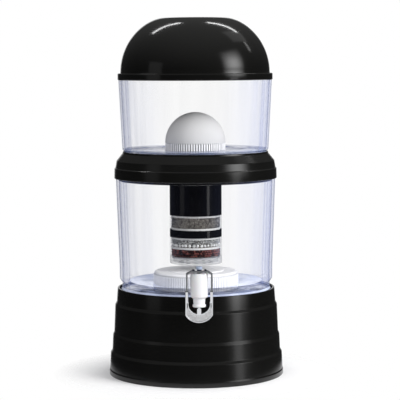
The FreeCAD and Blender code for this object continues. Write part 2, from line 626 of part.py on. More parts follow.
def tank_envelope(grow):
    """The lower tank's outside above its corner, grown by a distance, to shape the washers."""
    return turned((0, BASE_DECK), (TANK_FLOOR_RADIUS + grow, BASE_DECK),
                  (TANK_FLOOR_RADIUS + grow, BASE_DECK + TANK_STRAIGHT), (TANK_TOP_RADIUS + grow, TANK_TOP),
                  (0, TANK_TOP))


def tap_body():
    """Moulded body: valve chamber, spout with a ring at its mouth, flange and hollow shank."""
    flange_face = -TANK_FLOOR_RADIUS - WASHER_THICKNESS
    neck = rounded((TAP_RADIUS, TAP_SEAM), (TAP_RADIUS, TAP_BOTTOM), (SPOUT_RADIUS, TAP_BOTTOM - 3), 3.0)
    outside = turned(
        (0, SPOUT_BOTTOM), (SPOUT_RING_RADIUS - 1, SPOUT_BOTTOM),
        ((SPOUT_RING_RADIUS - 0.2, SPOUT_BOTTOM + 0.4), (SPOUT_RING_RADIUS, SPOUT_BOTTOM + 1.4)),
        (SPOUT_RING_RADIUS, SPOUT_BOTTOM + SPOUT_RING_HEIGHT - 0.8),
        (SPOUT_RADIUS - 0.6, SPOUT_BOTTOM + SPOUT_RING_HEIGHT), (SPOUT_RADIUS, TAP_BOTTOM - 3),
        neck[1][1], (neck[1][0], neck[0]), (TAP_RADIUS, TAP_SEAM), (0, TAP_SEAM))
    outside.translate(V(0, TAP_Y, 0))
    arm = along_y(SHANK_RADIUS + 1.5, TAP_Y, flange_face - FLANGE_THICKNESS, z=SHANK_HEIGHT)
    flange = along_y(FLANGE_RADIUS, flange_face - FLANGE_THICKNESS, flange_face, z=SHANK_HEIGHT)
    shank = along_y(SHANK_RADIUS, flange_face, SHANK_END, z=SHANK_HEIGHT)
    threads = []
    y = -TANK_FLOOR_RADIUS + TANK_WALL + 1.0
    while y < SHANK_END - 2:
        groove = along_y(SHANK_RADIUS + 1, y, y + 0.8, z=SHANK_HEIGHT)
        threads.append(groove.cut(along_y(SHANK_RADIUS - 0.5, y, y + 0.8, z=SHANK_HEIGHT)))
        y += 2.0
    body = outside.fuse([arm, flange, shank])
    bore = along_y(SHANK_BORE, TAP_Y, SHANK_END + 1, z=SHANK_HEIGHT)
    chamber = cylinder(CHAMBER_RADIUS, VALVE_SEAT, TAP_SEAM + 1, y=TAP_Y)
    spout = cylinder(SPOUT_BORE, SPOUT_BOTTOM - 1, VALVE_SEAT + 1, y=TAP_Y)
    return body.cut([bore, chamber, spout] + threads)


def tap_outer_washer():
    face = -TANK_FLOOR_RADIUS - WASHER_THICKNESS
    washer = along_y(WASHER_RADIUS, face, face + 8, z=SHANK_HEIGHT)
    return washer.cut([along_y(SHANK_RADIUS + FIT, face - 1, face + 9, z=SHANK_HEIGHT), tank_envelope(0)])


def tap_inner_washer():
    face = -TANK_FLOOR_RADIUS + TANK_WALL + WASHER_THICKNESS
    washer = along_y(WASHER_RADIUS, face - 8, face, z=SHANK_HEIGHT)
    washer = washer.cut(along_y(SHANK_RADIUS + FIT, face - 9, face + 1, z=SHANK_HEIGHT))
    return washer.common(tank_envelope(-TANK_WALL))


def tap_lock_nut():
    """Six-sided nut that clamps the tap from inside the tank."""
    start = -TANK_FLOOR_RADIUS + TANK_WALL + WASHER_THICKNESS
    radius = LOCK_NUT_WIDTH / math.sqrt(3)
    corners = []
    for i in range(7):
        angle = math.radians(30 + 60 * i)
        corners.append(V(radius * math.cos(angle), start, SHANK_HEIGHT + radius * math.sin(angle)))
    nut = Part.Face(Part.makePolygon(corners)).extrude(V(0, LOCK_NUT_THICKNESS, 0))
    return nut.cut(along_y(SHANK_RADIUS + RUN, start - 1, start + LOCK_NUT_THICKNESS + 1, z=SHANK_HEIGHT))


def tap_bonnet():
    """Screwed cover of the valve chamber, with two ears for the lever's pin."""
    plug_bottom = TAP_SEAM - BONNET_PLUG
    start, arc = rounded((TAP_RADIUS, TAP_SEAM), (TAP_RADIUS, TAP_TOP), (0, TAP_TOP), 1.6)
    shell = turned((0, plug_bottom), (CHAMBER_RADIUS - 0.02, plug_bottom), (CHAMBER_RADIUS - 0.02, TAP_SEAM),
                   (TAP_RADIUS, TAP_SEAM), start, arc, (0, TAP_TOP))
    shell.translate(V(0, TAP_Y, 0))
    inner_x = HUB_WIDTH / 2 + FIT
    ears = []
    for side in (-1, 1):
        x0, x1 = sorted((side * inner_x, side * (inner_x + EAR_THICKNESS)))
        ears.append(block(x0, PIVOT_Y - EAR_RADIUS, TAP_TOP - 2.0, x1, PIVOT_Y + EAR_RADIUS, PIVOT_Z))
        ears.append(along_x(EAR_RADIUS, x0, x1, PIVOT_Y, PIVOT_Z))
    cuts = [cylinder(STEM_ROD_RADIUS + RUN, plug_bottom - 1, TAP_TOP + 1, y=TAP_Y),
            cylinder(SPRING_RADIUS + SPRING_WIRE + 0.4, plug_bottom - 1, TAP_SEAM + BONNET_PLUG, y=TAP_Y),
            along_x(PIN_RADIUS + RUN, -inner_x - EAR_THICKNESS - 1, inner_x + EAR_THICKNESS + 1,
                    PIVOT_Y, PIVOT_Z)]
    return shell.fuse(ears).cut(cuts)


def tap_pivot_pin():
    reach = HUB_WIDTH / 2 + FIT + EAR_THICKNESS
    pin = along_x(PIN_RADIUS, -reach - 0.6, reach + 0.6, PIVOT_Y, PIVOT_Z)
    head = along_x(PIN_RADIUS + 0.9, -reach - 1.4, -reach - 0.2, PIVOT_Y, PIVOT_Z)
    return pin.fuse(head)


def tap_valve_stem():
    """Rod that carries the seal; the lever's fork lifts its head."""
    foot = VALVE_SEAT + SEAL_HEIGHT
    rod = cylinder(STEM_ROD_RADIUS, foot, PIVOT_Z + 3, y=TAP_Y)
    plate = cylinder(SPRING_RADIUS + SPRING_WIRE, foot, foot + 1.5, y=TAP_Y)
    head = cylinder(STEM_HEAD_RADIUS, PIVOT_Z + 2.2, PIVOT_Z + 2.2 + STEM_HEAD_HEIGHT, y=TAP_Y)
    barb = cylinder(1.5, VALVE_SEAT + 1.2, foot, y=TAP_Y)
    return rod.fuse([plate, head, barb])


def tap_valve_seal():
    """Rubber plug that closes the spout."""
    seal = turned((0, VALVE_SEAT), (SPOUT_BORE + 0.8, VALVE_SEAT), (SEAL_RADIUS, VALVE_SEAT + 1),
                  (SEAL_RADIUS, VALVE_SEAT + SEAL_HEIGHT), (0, VALVE_SEAT + SEAL_HEIGHT))
    seal.translate(V(0, TAP_Y, 0))
    return seal.cut(cylinder(1.5 + RUN, VALVE_SEAT + 1.2, VALVE_SEAT + SEAL_HEIGHT + 1, y=TAP_Y))


def tap_spring():
    """Coil that presses the seal down on its seat."""
    bottom = VALVE_SEAT + SEAL_HEIGHT + 1.5 + SPRING_WIRE + 0.02
    top = TAP_SEAM + BONNET_PLUG - SPRING_WIRE - 0.02
    helix = Part.makeHelix((top - bottom) / SPRING_TURNS, top - bottom, SPRING_RADIUS - 0.4)
    start = helix.Vertexes[0].Point
    section = Part.Wire(Part.makeCircle(SPRING_WIRE, start, V(0, 1, 0)))
    coil = Part.Wire(helix.Edges).makePipeShell([section], True, True)
    coil.translate(V(0, TAP_Y, bottom))
    return coil


def leaned(shape):
    """Tips a lever piece, drawn upright in the pivot's plane, so that its foot leans towards the tank."""
    shape.rotate(V(0, PIVOT_Y, PIVOT_Z), V(1, 0, 0), LEVER_LEAN)
    return shape


def tap_lever():
    """Stirrup: hub on the pin, fork under the stem's disc, top bar, two arms and their knuckles."""
    half = LEVER_HALF_WIDTH
    arm_bottom = PIVOT_Z - ARM_LENGTH
    shoulder = PIVOT_Z - LEVER_CHAMFER_Z
    outer = [(-half, arm_bottom), (-half, shoulder), (-half + LEVER_CHAMFER_X, PIVOT_Z + 1.4),
             (half - LEVER_CHAMFER_X, PIVOT_Z + 1.4), (half, shoulder), (half, arm_bottom)]
    inner = [(half - LEVER_BAR, arm_bottom), (half - LEVER_BAR, shoulder - 1),
             (half - LEVER_CHAMFER_X - 1.4, PIVOT_Z - 1.4), (-half + LEVER_CHAMFER_X + 1.4, PIVOT_Z - 1.4),
             (-half + LEVER_BAR, shoulder - 1), (-half + LEVER_BAR, arm_bottom)]
    front = PIVOT_Y - LEVER_DEPTH / 2
    points = [V(x, front, z) for x, z in outer + inner]
    bow = Part.Face(Part.makePolygon(points + points[:1])).extrude(V(0, LEVER_DEPTH, 0))
    gap = HUB_WIDTH / 2 + FIT + EAR_THICKNESS + 1.7
    middle = block(-gap, front - 1, PIVOT_Z - 3, gap, front + LEVER_DEPTH + 1, PIVOT_Z + 3)
    bow = bow.cut(middle)
    bridge = block(-gap - 1.5, PIVOT_Y - 6.8, PIVOT_Z + 0.6, gap + 1.5, PIVOT_Y - 3.6, PIVOT_Z + 3.0)
    links = [block(side * (gap + 1.5) - 1.5, PIVOT_Y - 6.8, PIVOT_Z - 0.6, side * (gap + 1.5) + 1.5,
                   PIVOT_Y + LEVER_DEPTH / 2, PIVOT_Z + 3.0) for side in (-1, 1)]
    tongue = block(-HUB_WIDTH / 2, PIVOT_Y - 5, PIVOT_Z + 0.6, HUB_WIDTH / 2, PIVOT_Y, PIVOT_Z + 2.4)
    knuckles = []
    for side in (-1, 1):
        x = side * (half - LEVER_BAR / 2)
        knuckle = block(x - KNUCKLE_WIDTH / 2, PIVOT_Y - KNUCKLE_DEPTH / 2, arm_bottom - KNUCKLE_LENGTH,
                        x + KNUCKLE_WIDTH / 2, PIVOT_Y + KNUCKLE_DEPTH / 2, arm_bottom + 1)
        upright = [e for e in knuckle.Edges if abs(e.tangentAt(e.FirstParameter).z) > 0.9]
        knuckles.append(knuckle.makeFillet(0.9, upright))
    stirrup = leaned(bow.fuse([bridge, tongue] + links + knuckles))
    hub = along_x(HUB_RADIUS, -HUB_WIDTH / 2, HUB_WIDTH / 2, PIVOT_Y, PIVOT_Z)
    fork = block(-HUB_WIDTH / 2, PIVOT_Y, PIVOT_Z - 0.4, HUB_WIDTH / 2, TAP_Y + 3.2, PIVOT_Z + 2.1)
    slot = block(-STEM_ROD_RADIUS - FIT, TAP_Y - STEM_ROD_RADIUS - 0.9, PIVOT_Z - 3, STEM_ROD_RADIUS + FIT,
                 TAP_Y + 9, PIVOT_Z + 4)
    bore = along_x(PIN_RADIUS + RUN, -HUB_WIDTH, HUB_WIDTH, PIVOT_Y, PIVOT_Z)
    return stirrup.fuse([hub, fork]).cut([slot, bore])


def paddle_outline(inset):
    """Closed outline of the paddle around its U-shaped cut-out, drawn inwards by a distance."""
    top = PIVOT_Z - ARM_LENGTH - KNUCKLE_LENGTH
    half = PADDLE_HALF_WIDTH - inset
    side = top - PADDLE_SIDE
    foot = top - PADDLE_LENGTH + inset
    cut = PADDLE_CUT_RADIUS + inset
    floor = top - PADDLE_CUT_DEPTH - inset
    return outline((-half, top - inset), (-half, side), ((0, foot), (half, side)), (half, top - inset),
                   (cut, top - inset), ((0, floor), (-cut, top - inset)))


def tap_paddle():
    """Push plate with a raised rim, a nub under the spout and a slot at each side."""
    back = PIVOT_Y + PADDLE_THICKNESS / 2
    front = back - PADDLE_THICKNESS
    top = PIVOT_Z - ARM_LENGTH - KNUCKLE_LENGTH
    face = Part.Face(paddle_outline(0))
    field = Part.Face(paddle_outline(PADDLE_RIM))
    plate = face.extrude(V(0, PADDLE_THICKNESS + PADDLE_RIM_RISE, 0))
    plate.translate(V(0, front - PADDLE_RIM_RISE, 0))
    sunk = field.extrude(V(0, PADDLE_RIM_RISE, 0))
    sunk.translate(V(0, front - PADDLE_RIM_RISE, 0))
    floor = top - PADDLE_CUT_DEPTH
    nub_top = floor + NUB_RISE - NUB_HALF_WIDTH
    nub = block(-NUB_HALF_WIDTH, front - PADDLE_RIM_RISE, floor - 2, NUB_HALF_WIDTH, back, nub_top)
    nub_tip = along_y(NUB_HALF_WIDTH, front - PADDLE_RIM_RISE, back, z=nub_top)
    slots = []
    for side in (-1, 1):
        x = side * (PADDLE_HALF_WIDTH - 2.9)
        slots.append(block(x - SLOT_WIDTH / 2, front - 3, top - 2 - SLOT_LENGTH,
                           x + SLOT_WIDTH / 2, back + 1, top - 2))
    return leaned(plate.cut(sunk).fuse([nub, nub_tip]).cut(slots))


def main():
    makers = {
        "base_stand": base_stand, "lower_tank": lower_tank, "collar": collar,
        "upper_tank": upper_tank, "lid": lid,
        "dome_ceramic": dome_ceramic, "dome_base": dome_base, "dome_gasket": dome_gasket,
        "dome_washer": dome_washer, "dome_nut": dome_nut,
        "cartridge_housing": cartridge_housing, "cartridge_bottom_cap": cartridge_bottom_cap,
        "cartridge_grid": cartridge_grid, "cartridge_top_cap": cartridge_top_cap,
        "cartridge_gasket": cartridge_gasket, "felt_pads": felt_pads,
        "mineral_case_body": mineral_case_body, "mineral_case_lid": mineral_case_lid,
        "mineral_stones": mineral_stones,
        "tap_body": tap_body, "tap_outer_washer": tap_outer_washer, "tap_inner_washer": tap_inner_washer,
        "tap_lock_nut": tap_lock_nut, "tap_bonnet": tap_bonnet, "tap_pivot_pin": tap_pivot_pin,
        "tap_valve_stem": tap_valve_stem, "tap_valve_seal": tap_valve_seal, "tap_spring": tap_spring,
        "tap_lever": tap_lever, "tap_paddle": tap_paddle,
    }
    os.makedirs("parts", exist_ok=True)
    for node, make in makers.items():
        shape = make()
        shape.exportStep("parts/" + node + ".step")
        print(node, "solids", len(shape.Solids), "valid", shape.isValid(), "volume", round(shape.Volume))
    for node, _ in BED_HEIGHTS:
        shape = bed(node)
        shape.exportStep("parts/" + node + ".step")
        print(node, "solids", len(shape.Solids), "valid", shape.isValid(), "volume", round(shape.Volume))


main()
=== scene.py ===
"""Dresses the gravity water filter: finishes, cartridge grains, clear tanks, tap, floor, lamps and camera."""

import math

import bmesh
import bpy
from mathutils import Matrix, Vector


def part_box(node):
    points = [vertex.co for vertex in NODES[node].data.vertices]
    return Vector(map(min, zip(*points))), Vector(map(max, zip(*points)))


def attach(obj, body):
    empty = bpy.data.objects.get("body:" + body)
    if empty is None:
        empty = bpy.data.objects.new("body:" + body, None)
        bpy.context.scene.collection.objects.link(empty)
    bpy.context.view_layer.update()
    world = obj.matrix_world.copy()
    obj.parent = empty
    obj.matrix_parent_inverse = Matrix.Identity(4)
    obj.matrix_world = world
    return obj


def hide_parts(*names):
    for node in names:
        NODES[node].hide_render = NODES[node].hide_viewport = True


bl_info = {
    "name": "Gravity water filter",
    "version": (1, 0, 0),
    "blender": (4, 5, 0),
    "location": "3D View > Sidebar > Water filter",
    "description": "Builds the visible surfaces of a gravity water filter on its packed frame",
    "category": "Add Mesh",
}

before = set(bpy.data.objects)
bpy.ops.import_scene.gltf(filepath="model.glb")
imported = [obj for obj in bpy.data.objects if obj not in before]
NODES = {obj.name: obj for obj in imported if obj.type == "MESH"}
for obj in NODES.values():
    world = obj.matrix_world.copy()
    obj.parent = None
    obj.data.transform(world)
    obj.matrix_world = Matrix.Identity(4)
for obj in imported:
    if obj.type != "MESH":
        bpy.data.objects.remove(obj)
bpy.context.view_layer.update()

MM = 0.001
LARGE_ROUND = 256            # segments round a tank, the lid, the collar and the stand
SMALL_ROUND = 160            # segments round the dome and the cartridge's tube
CORE_ROUND = 128             # segments round the middle of a bed
TURNED_SHARP = 28.0          # degrees at which an edge of a turned piece looks sharp
COPIED_SHARP = 32.0          # the same for a copied CAD shape, which is also bevelled there
FLAT_ENOUGH = 0.55           # least upright share of a normal on a face that counts as level
TO_THE_TOP = 1.0             # height above the whole object, for a zone without an upper end


def low(node, axis=2):
    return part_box(node)[0][axis]


def high(node, axis=2):
    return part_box(node)[1][axis]


def radius_of(node):
    return high(node, 0)


def length_property(name, description, default):
    return bpy.props.FloatProperty(name=name, description=description, default=default, unit="LENGTH")


def colour_property(name, description, default):
    return bpy.props.FloatVectorProperty(name=name, description=description, default=default,
                                         subtype="COLOR", min=0, max=1)


class FilterSizes(bpy.types.PropertyGroup):
    """Sizes that the frame doesn't give, in metres."""
    lid_wall: length_property("Lid wall", "Thickness of the lid", 2.8 * MM)
    crown_radius: length_property("Crown radius", "Radius of the lid's flat crown", 52 * MM)
    dome_foot: length_property("Dome foot", "Radius of the lid's dome at its rim", 121.3 * MM)
    lid_rim: length_property("Lid rim", "Height of the lid's rim", 11 * MM)
    upper_wall: length_property("Upper wall", "Wall of the upper tank", 3.2 * MM)
    lower_wall: length_property("Lower wall", "Wall of the lower tank", 4.3 * MM)
    ball: length_property("Ball", "Radius of a red ball in the cartridge", 2.25 * MM)
    grain: length_property("Grain", "Radius of a grain of mineral sand", 1.35 * MM)
    pebble: length_property("Pebble", "Radius of a white pebble in the cartridge", 3.1 * MM)


class FilterColours(bpy.types.PropertyGroup):
    """Main colours of the object."""
    black: colour_property("Black", "Moulded black plastic", (0.0034, 0.0034, 0.0031))
    clear: colour_property("Clear", "Tint of the clear tanks", (0.24, 0.30, 0.60))
    white: colour_property("White", "Moulded white plastic", (0.76, 0.76, 0.77))
    ceramic: colour_property("Ceramic", "Porous ceramic dome", (0.64, 0.64, 0.645))


def operator_of(operation, swapped=False):
    """Python operator that makes a math node; swapped is for a plain number at the left."""
    if swapped:
        return lambda self, other: self.math(operation, other, self)
    return lambda self, other: self.math(operation, self, other)


class Wire:
    """One output of a node tree that Python arithmetic can be used on."""

    def __init__(self, graph, socket):
        self.graph = graph
        self.socket = socket

    def math(self, operation, *values):
        return self.graph.node("ShaderNodeMath", {"operation": operation}, dict(enumerate(values)))("Value")

    __add__ = operator_of("ADD")
    __radd__ = operator_of("ADD", True)
    __sub__ = operator_of("SUBTRACT")
    __rsub__ = operator_of("SUBTRACT", True)
    __mul__ = operator_of("MULTIPLY")
    __rmul__ = operator_of("MULTIPLY", True)
    __truediv__ = operator_of("DIVIDE")
    __pow__ = operator_of("POWER")
    __mod__ = operator_of("MODULO")
    most = operator_of("MAXIMUM")

    def floor(self):
        return self.math("FLOOR", self)

    def sine(self):
        return self.math("SINE", self)

    def cosine(self):
        return self.math("COSINE", self)

    def clamped(self):
        return self.math("MINIMUM", self.most(0.0), 1.0)


class Graph:
    """A shader or geometry tree, with one method that makes any node."""

    def __init__(self, tree):
        self.tree = tree

    def node(self, kind, settings=None, values=None):
        made = self.tree.nodes.new(kind)
        for key, value in (settings or {}).items():
            if key == "stops":
                ramp = made.color_ramp
                while len(ramp.elements) < len(value):
                    ramp.elements.new(0.5)
                for element, (place, tone) in zip(ramp.elements, value):
                    element.position = place
                    element.color = rgba(tone)
            else:
                setattr(made, key, value)
        for key, value in (values or {}).items():
            socket = made.inputs[key]
            if isinstance(value, Wire):
                self.tree.links.new(value.socket, socket)
            else:
                socket.default_value = value
        return lambda name=0: Wire(self, made.outputs[name])


def new_material(name):
    """A material with an empty node tree: gives the material and its graph."""
    material = bpy.data.materials.new(name)
    material.use_nodes = True
    material.node_tree.nodes.clear()
    return material, Graph(material.node_tree)


def object_point(graph, scale=(1, 1, 1)):
    place = graph.node("ShaderNodeTexCoord")("Object")
    return graph.node("ShaderNodeMapping", {}, {"Vector": place, "Scale": scale})("Vector")


def noise(graph, point, scale, detail=3.0, roughness=0.55):
    return graph.node("ShaderNodeTexNoise", {}, {"Vector": point, "Scale": scale, "Detail": detail,
                                                 "Roughness": roughness})("Fac")


def blend_colour(graph, share, first, second):
    return graph.node("ShaderNodeMix", {"data_type": "RGBA"}, {0: share, 6: first, 7: second})(2)


def rgba(colour):
    return tuple(colour) + (1.0,)


def shaded(colour, factor):
    return tuple(c * factor for c in colour)


def mottled(graph, share, tone, dark, pale):
    """One colour between two shades of itself, as a pattern says."""
    return blend_colour(graph, share, rgba(shaded(tone, dark)), rgba(shaded(tone, pale)))


def finish_surface(graph, tone, rough, more, bump, strength=0.1, distance=0.0002):
    """Principled surface with a bump height, joined to the output; more holds its other inputs."""
    values = {"Base Color": tone, "Roughness": rough, **more}
    values["Normal"] = graph.node("ShaderNodeBump", {}, {"Height": bump, "Strength": strength,
                                                         "Distance": distance})("Normal")
    surface = graph.node("ShaderNodeBsdfPrincipled", {}, values)("BSDF")
    graph.node("ShaderNodeOutputMaterial", {}, {"Surface": surface})


def gloss_black(colours):
    """Polished black moulding: faint cloudiness, a few hair scratches in its roughness."""
    material, graph = new_material("gloss_black_plastic")
    point = object_point(graph)
    cloud = noise(graph, point, 14.0)
    scratch = noise(graph, object_point(graph, (900, 900, 40)), 1.0, 2.0)
    tone = mottled(graph, cloud, colours.black, 0.85, 1.2)
    rough = 0.10 + cloud * 0.05 + scratch * 0.02
    finish_surface(graph, tone, rough, {"IOR": 1.5, "Coat Weight": 0.15, "Coat Roughness": 0.06},
                   noise(graph, point, 30.0, 2.0), 0.02, 0.0004)
    return material


def satin_black(colours):
    """Satin black moulding with a fine spark-eroded grain."""
    material, graph = new_material("satin_black_plastic")
    point = object_point(graph)
    cloud = noise(graph, point, 11.0)
    grain = noise(graph, point, 2600.0, 2.0, 0.6)
    tone = mottled(graph, cloud, colours.black, 0.9, 1.35)
    rough = 0.16 + cloud * 0.05 + grain * 0.03
    finish_surface(graph, tone, rough, {"IOR": 1.49}, grain, 0.05, 0.00008)
    return material


def clear_plastic(name, tint, face_on, edge_on, rim, streaks, rough=0.04, mirror=0.0, glow=0.0,
                  flat_dark=False, ior=1.49):
    """Clear moulding: nearly invisible face on, tinted towards its edges, with upright streaks in how much
    tint shows.

    The glow is painted light: emission that stands for the light a thick clear moulding carries along
    inside itself. flat_dark stands for the little that a thin wall takes away face on. The thin line
    at line_at stands for the edge of the inner wall, which refraction moves inwards.
    """
    slope_power, rim_power = 1.5, 13.0
    line_at, line_half, line_share = 0.575, 0.03, 0.06
    material, graph = new_material(name)
    point = object_point(graph)
    haze = noise(graph, point, 9.0)
    facing = graph.node("ShaderNodeLayerWeight", {}, {"Blend": 0.5})("Facing")
    upright_streak = noise(graph, object_point(graph, (34, 34, 0.8)), 1.0, 3.0, 0.6)
    upright_streak = ((upright_streak - 0.36) * 3.6).clamped()
    sloped = face_on + edge_on * facing ** slope_power
    cover = sloped * (1.0 + streaks * (upright_streak - 0.5)) + rim * facing ** rim_power
    inner_line = (1.0 - ((facing - line_at) / line_half) ** 2).clamped()
    cover = cover + inner_line * rim * line_share
    wave = noise(graph, object_point(graph, (1, 1, 0.25)), 26.0, 2.0)
    slope = mottled(graph, haze, tint, 1.0, 1.08)
    if flat_dark:
        slope = blend_colour(graph, (facing * 5.0).clamped(), (0.02, 0.02, 0.03, 1), slope)
    grey = tuple((c * 0.55 + sum(tint) / 3 * 0.45) * 0.8 for c in tint)
    # Emission Strength is the glow: painted light, as the moulding is no lamp.
    finish_surface(graph, blend_colour(graph, facing ** 7.0, slope, rgba(grey)), rough + haze * 0.02,
                   {"IOR": ior, "Metallic": mirror, "Alpha": cover.clamped(),
                    "Emission Color": rgba(tint), "Emission Strength": glow}, wave, 0.02, 0.0006)
    return material


def black_behind_clear():
    """Clear tube wall with black grains pressed against it: reads as deep gloss black."""
    material, graph = new_material("clear_wall_over_black")
    point = object_point(graph)
    grain = noise(graph, point, 800.0, 2.0, 0.6)
    tone = blend_colour(graph, ((grain - 0.5) * 4.0).clamped(), (0.0022, 0.0022, 0.0026, 1),
                        (0.0050, 0.0050, 0.0058, 1))
    finish_surface(graph, tone, 0.07 + grain * 0.03, {"IOR": 1.49},
                   noise(graph, object_point(graph, (1, 1, 0.2)), 40.0, 2.0), 0.02, 0.0006)
    return material


def ribbed_white(colours, root, name, depth):
    """White moulding with ribs: painted shade darkens the grooves that reach in to the root radius, and
    painted light raises the white outside them, for light that the clear walls round the piece hold back.
    """
    material, graph = new_material(name)
    parts = graph.node("ShaderNodeSeparateXYZ", {}, {0: object_point(graph)})
    reach = (parts("X") ** 2 + parts("Y") ** 2) ** 0.5
    # Painted shade mask: 1 near the root radius of the grooves, 0 on the ribs.
    groove_shade = ((root + 0.0006 - reach) / 0.0004).clamped() * ((reach - root + 0.0006) / 0.0003).clamped()
    cloud = noise(graph, object_point(graph), 60.0)
    # Ribs at 1.27 times the white (painted light), grooves at depth times it (painted shade).
    tone = mottled(graph, groove_shade, colours.white, 1.27, depth)
    finish_surface(graph, tone, 0.3 + cloud * 0.1, {"IOR": 1.46},
                   noise(graph, object_point(graph), 900.0, 2.0), 0.03, 0.00006)
    return material


def white_plastic(colours):
    """Moulded white plastic with soft depth and slight mottling."""
    material, graph = new_material("white_plastic")
    point = object_point(graph)
    cloud = noise(graph, point, 60.0)
    tone = mottled(graph, cloud, colours.white, 0.965, 1.0)
    finish_surface(graph, tone, 0.28 + cloud * 0.1,
                   {"IOR": 1.46, "Subsurface Weight": 0.08, "Subsurface Scale": 0.002},
                   noise(graph, point, 900.0, 2.0), 0.03, 0.00006)
    return material


def porous_ceramic(colours):
    """Fired porous ceramic: chalky, with fine pits and faint turning rings."""
    material, graph = new_material("porous_ceramic")
    point = object_point(graph)
    cloud = noise(graph, point, 22.0, 4.0)
    pits = noise(graph, point, 1500.0, 3.0, 0.65)
    rings = noise(graph, object_point(graph, (6, 6, 900)), 1.0, 2.0)
    tone = mottled(graph, cloud * 0.7 + pits * 0.3, colours.ceramic, 0.93, 1.04)
    finish_surface(graph, tone, 0.62 + pits * 0.15, {"Specular IOR Level": 0.35},
                   pits * 0.8 + rings * 0.35, 0.12, 0.0002)
    return material


def rubber(name, colour):
    """Soft matt rubber or plastic with a little dust."""
    material, graph = new_material(name)
    point = object_point(graph)
    dust = noise(graph, point, 180.0)
    tone = mottled(graph, dust, colour, 0.85, 1.1)
    finish_surface(graph, tone, 0.6 + dust * 0.15, {}, noise(graph, point, 1400.0), 0.1)
    return material


def felt(name, colour):
    """Pressed fibre pad."""
    material, graph = new_material(name)
    fibre = noise(graph, object_point(graph, (1, 1, 3)), 1500.0, 4.0, 0.7)
    tone = mottled(graph, fibre, colour, 0.8, 1.08)
    finish_surface(graph, tone, 0.85 + fibre * 0.1, {"Sheen Weight": 0.3}, fibre, 0.5, 0.0004)
    return material


def granular(name, dark, pale, scale, rough, strength=0.6):
    """Packed grains seen as one mass: cells of different tones with gaps between them."""
    material, graph = new_material(name)
    point = object_point(graph)
    cells = graph.node("ShaderNodeTexVoronoi", {"feature": "F1"}, {"Vector": point, "Scale": scale})
    tone = graph.node("ShaderNodeTexNoise", {}, {"Vector": cells("Position"), "Scale": 40.0,
                                                 "Detail": 2.0})("Fac")
    colour = blend_colour(graph, ((tone - 0.3) * 2.5).clamped(), rgba(dark), rgba(pale))
    height = 1.0 - cells("Distance") * 1.2
    finish_surface(graph, colour, rough + tone * 0.1, {}, height, strength, 0.0006)
    return material


def stone(name, tones, rough, patch_scale, drift=0.0):
    """Loose stones or balls: each one's tone comes from where it lies; drift adds large patches."""
    material, graph = new_material(name)
    point = object_point(graph)
    patch = graph.node("ShaderNodeTexVoronoi", {"feature": "F1"}, {"Vector": point, "Scale": patch_scale})
    pick = graph.node("ShaderNodeTexWhiteNoise", {"noise_dimensions": "3D"},
                      {"Vector": patch("Position")})("Value")
    speck = noise(graph, point, 700.0, 3.0, 0.6)
    share = (pick * 0.75 + speck * 0.25 - 0.3) / 0.4
    share = (share + (noise(graph, point, 38.0, 2.0) - 0.5) * drift).clamped()
    stops = [(i / (len(tones) - 1), tone) for i, tone in enumerate(tones)]
    colour = graph.node("ShaderNodeValToRGB", {"stops": stops}, {"Fac": share})("Color")
    finish_surface(graph, colour, rough + speck * 0.12, {}, speck, 0.25, 0.0003)
    return material


def chrome(name, colour, rough, grain_scale=0.0):
    """Bright plating; with a grain scale it is frosted by fine dimples."""
    material, graph = new_material(name)
    point = object_point(graph)
    smear = noise(graph, point, 120.0)
    rough = rough + smear * 0.05
    if grain_scale:
        dimple = noise(graph, point, grain_scale, 3.0, 0.6)
        tone = mottled(graph, ((dimple - 0.35) * 3.0).clamped(), colour, 0.55, 1.0)
        finish_surface(graph, tone, rough, {"Metallic": 1.0}, dimple, 0.55, 0.0005)
    else:
        finish_surface(graph, rgba(colour), rough, {"Metallic": 1.0}, smear, 0.02, 0.0002)
    return material


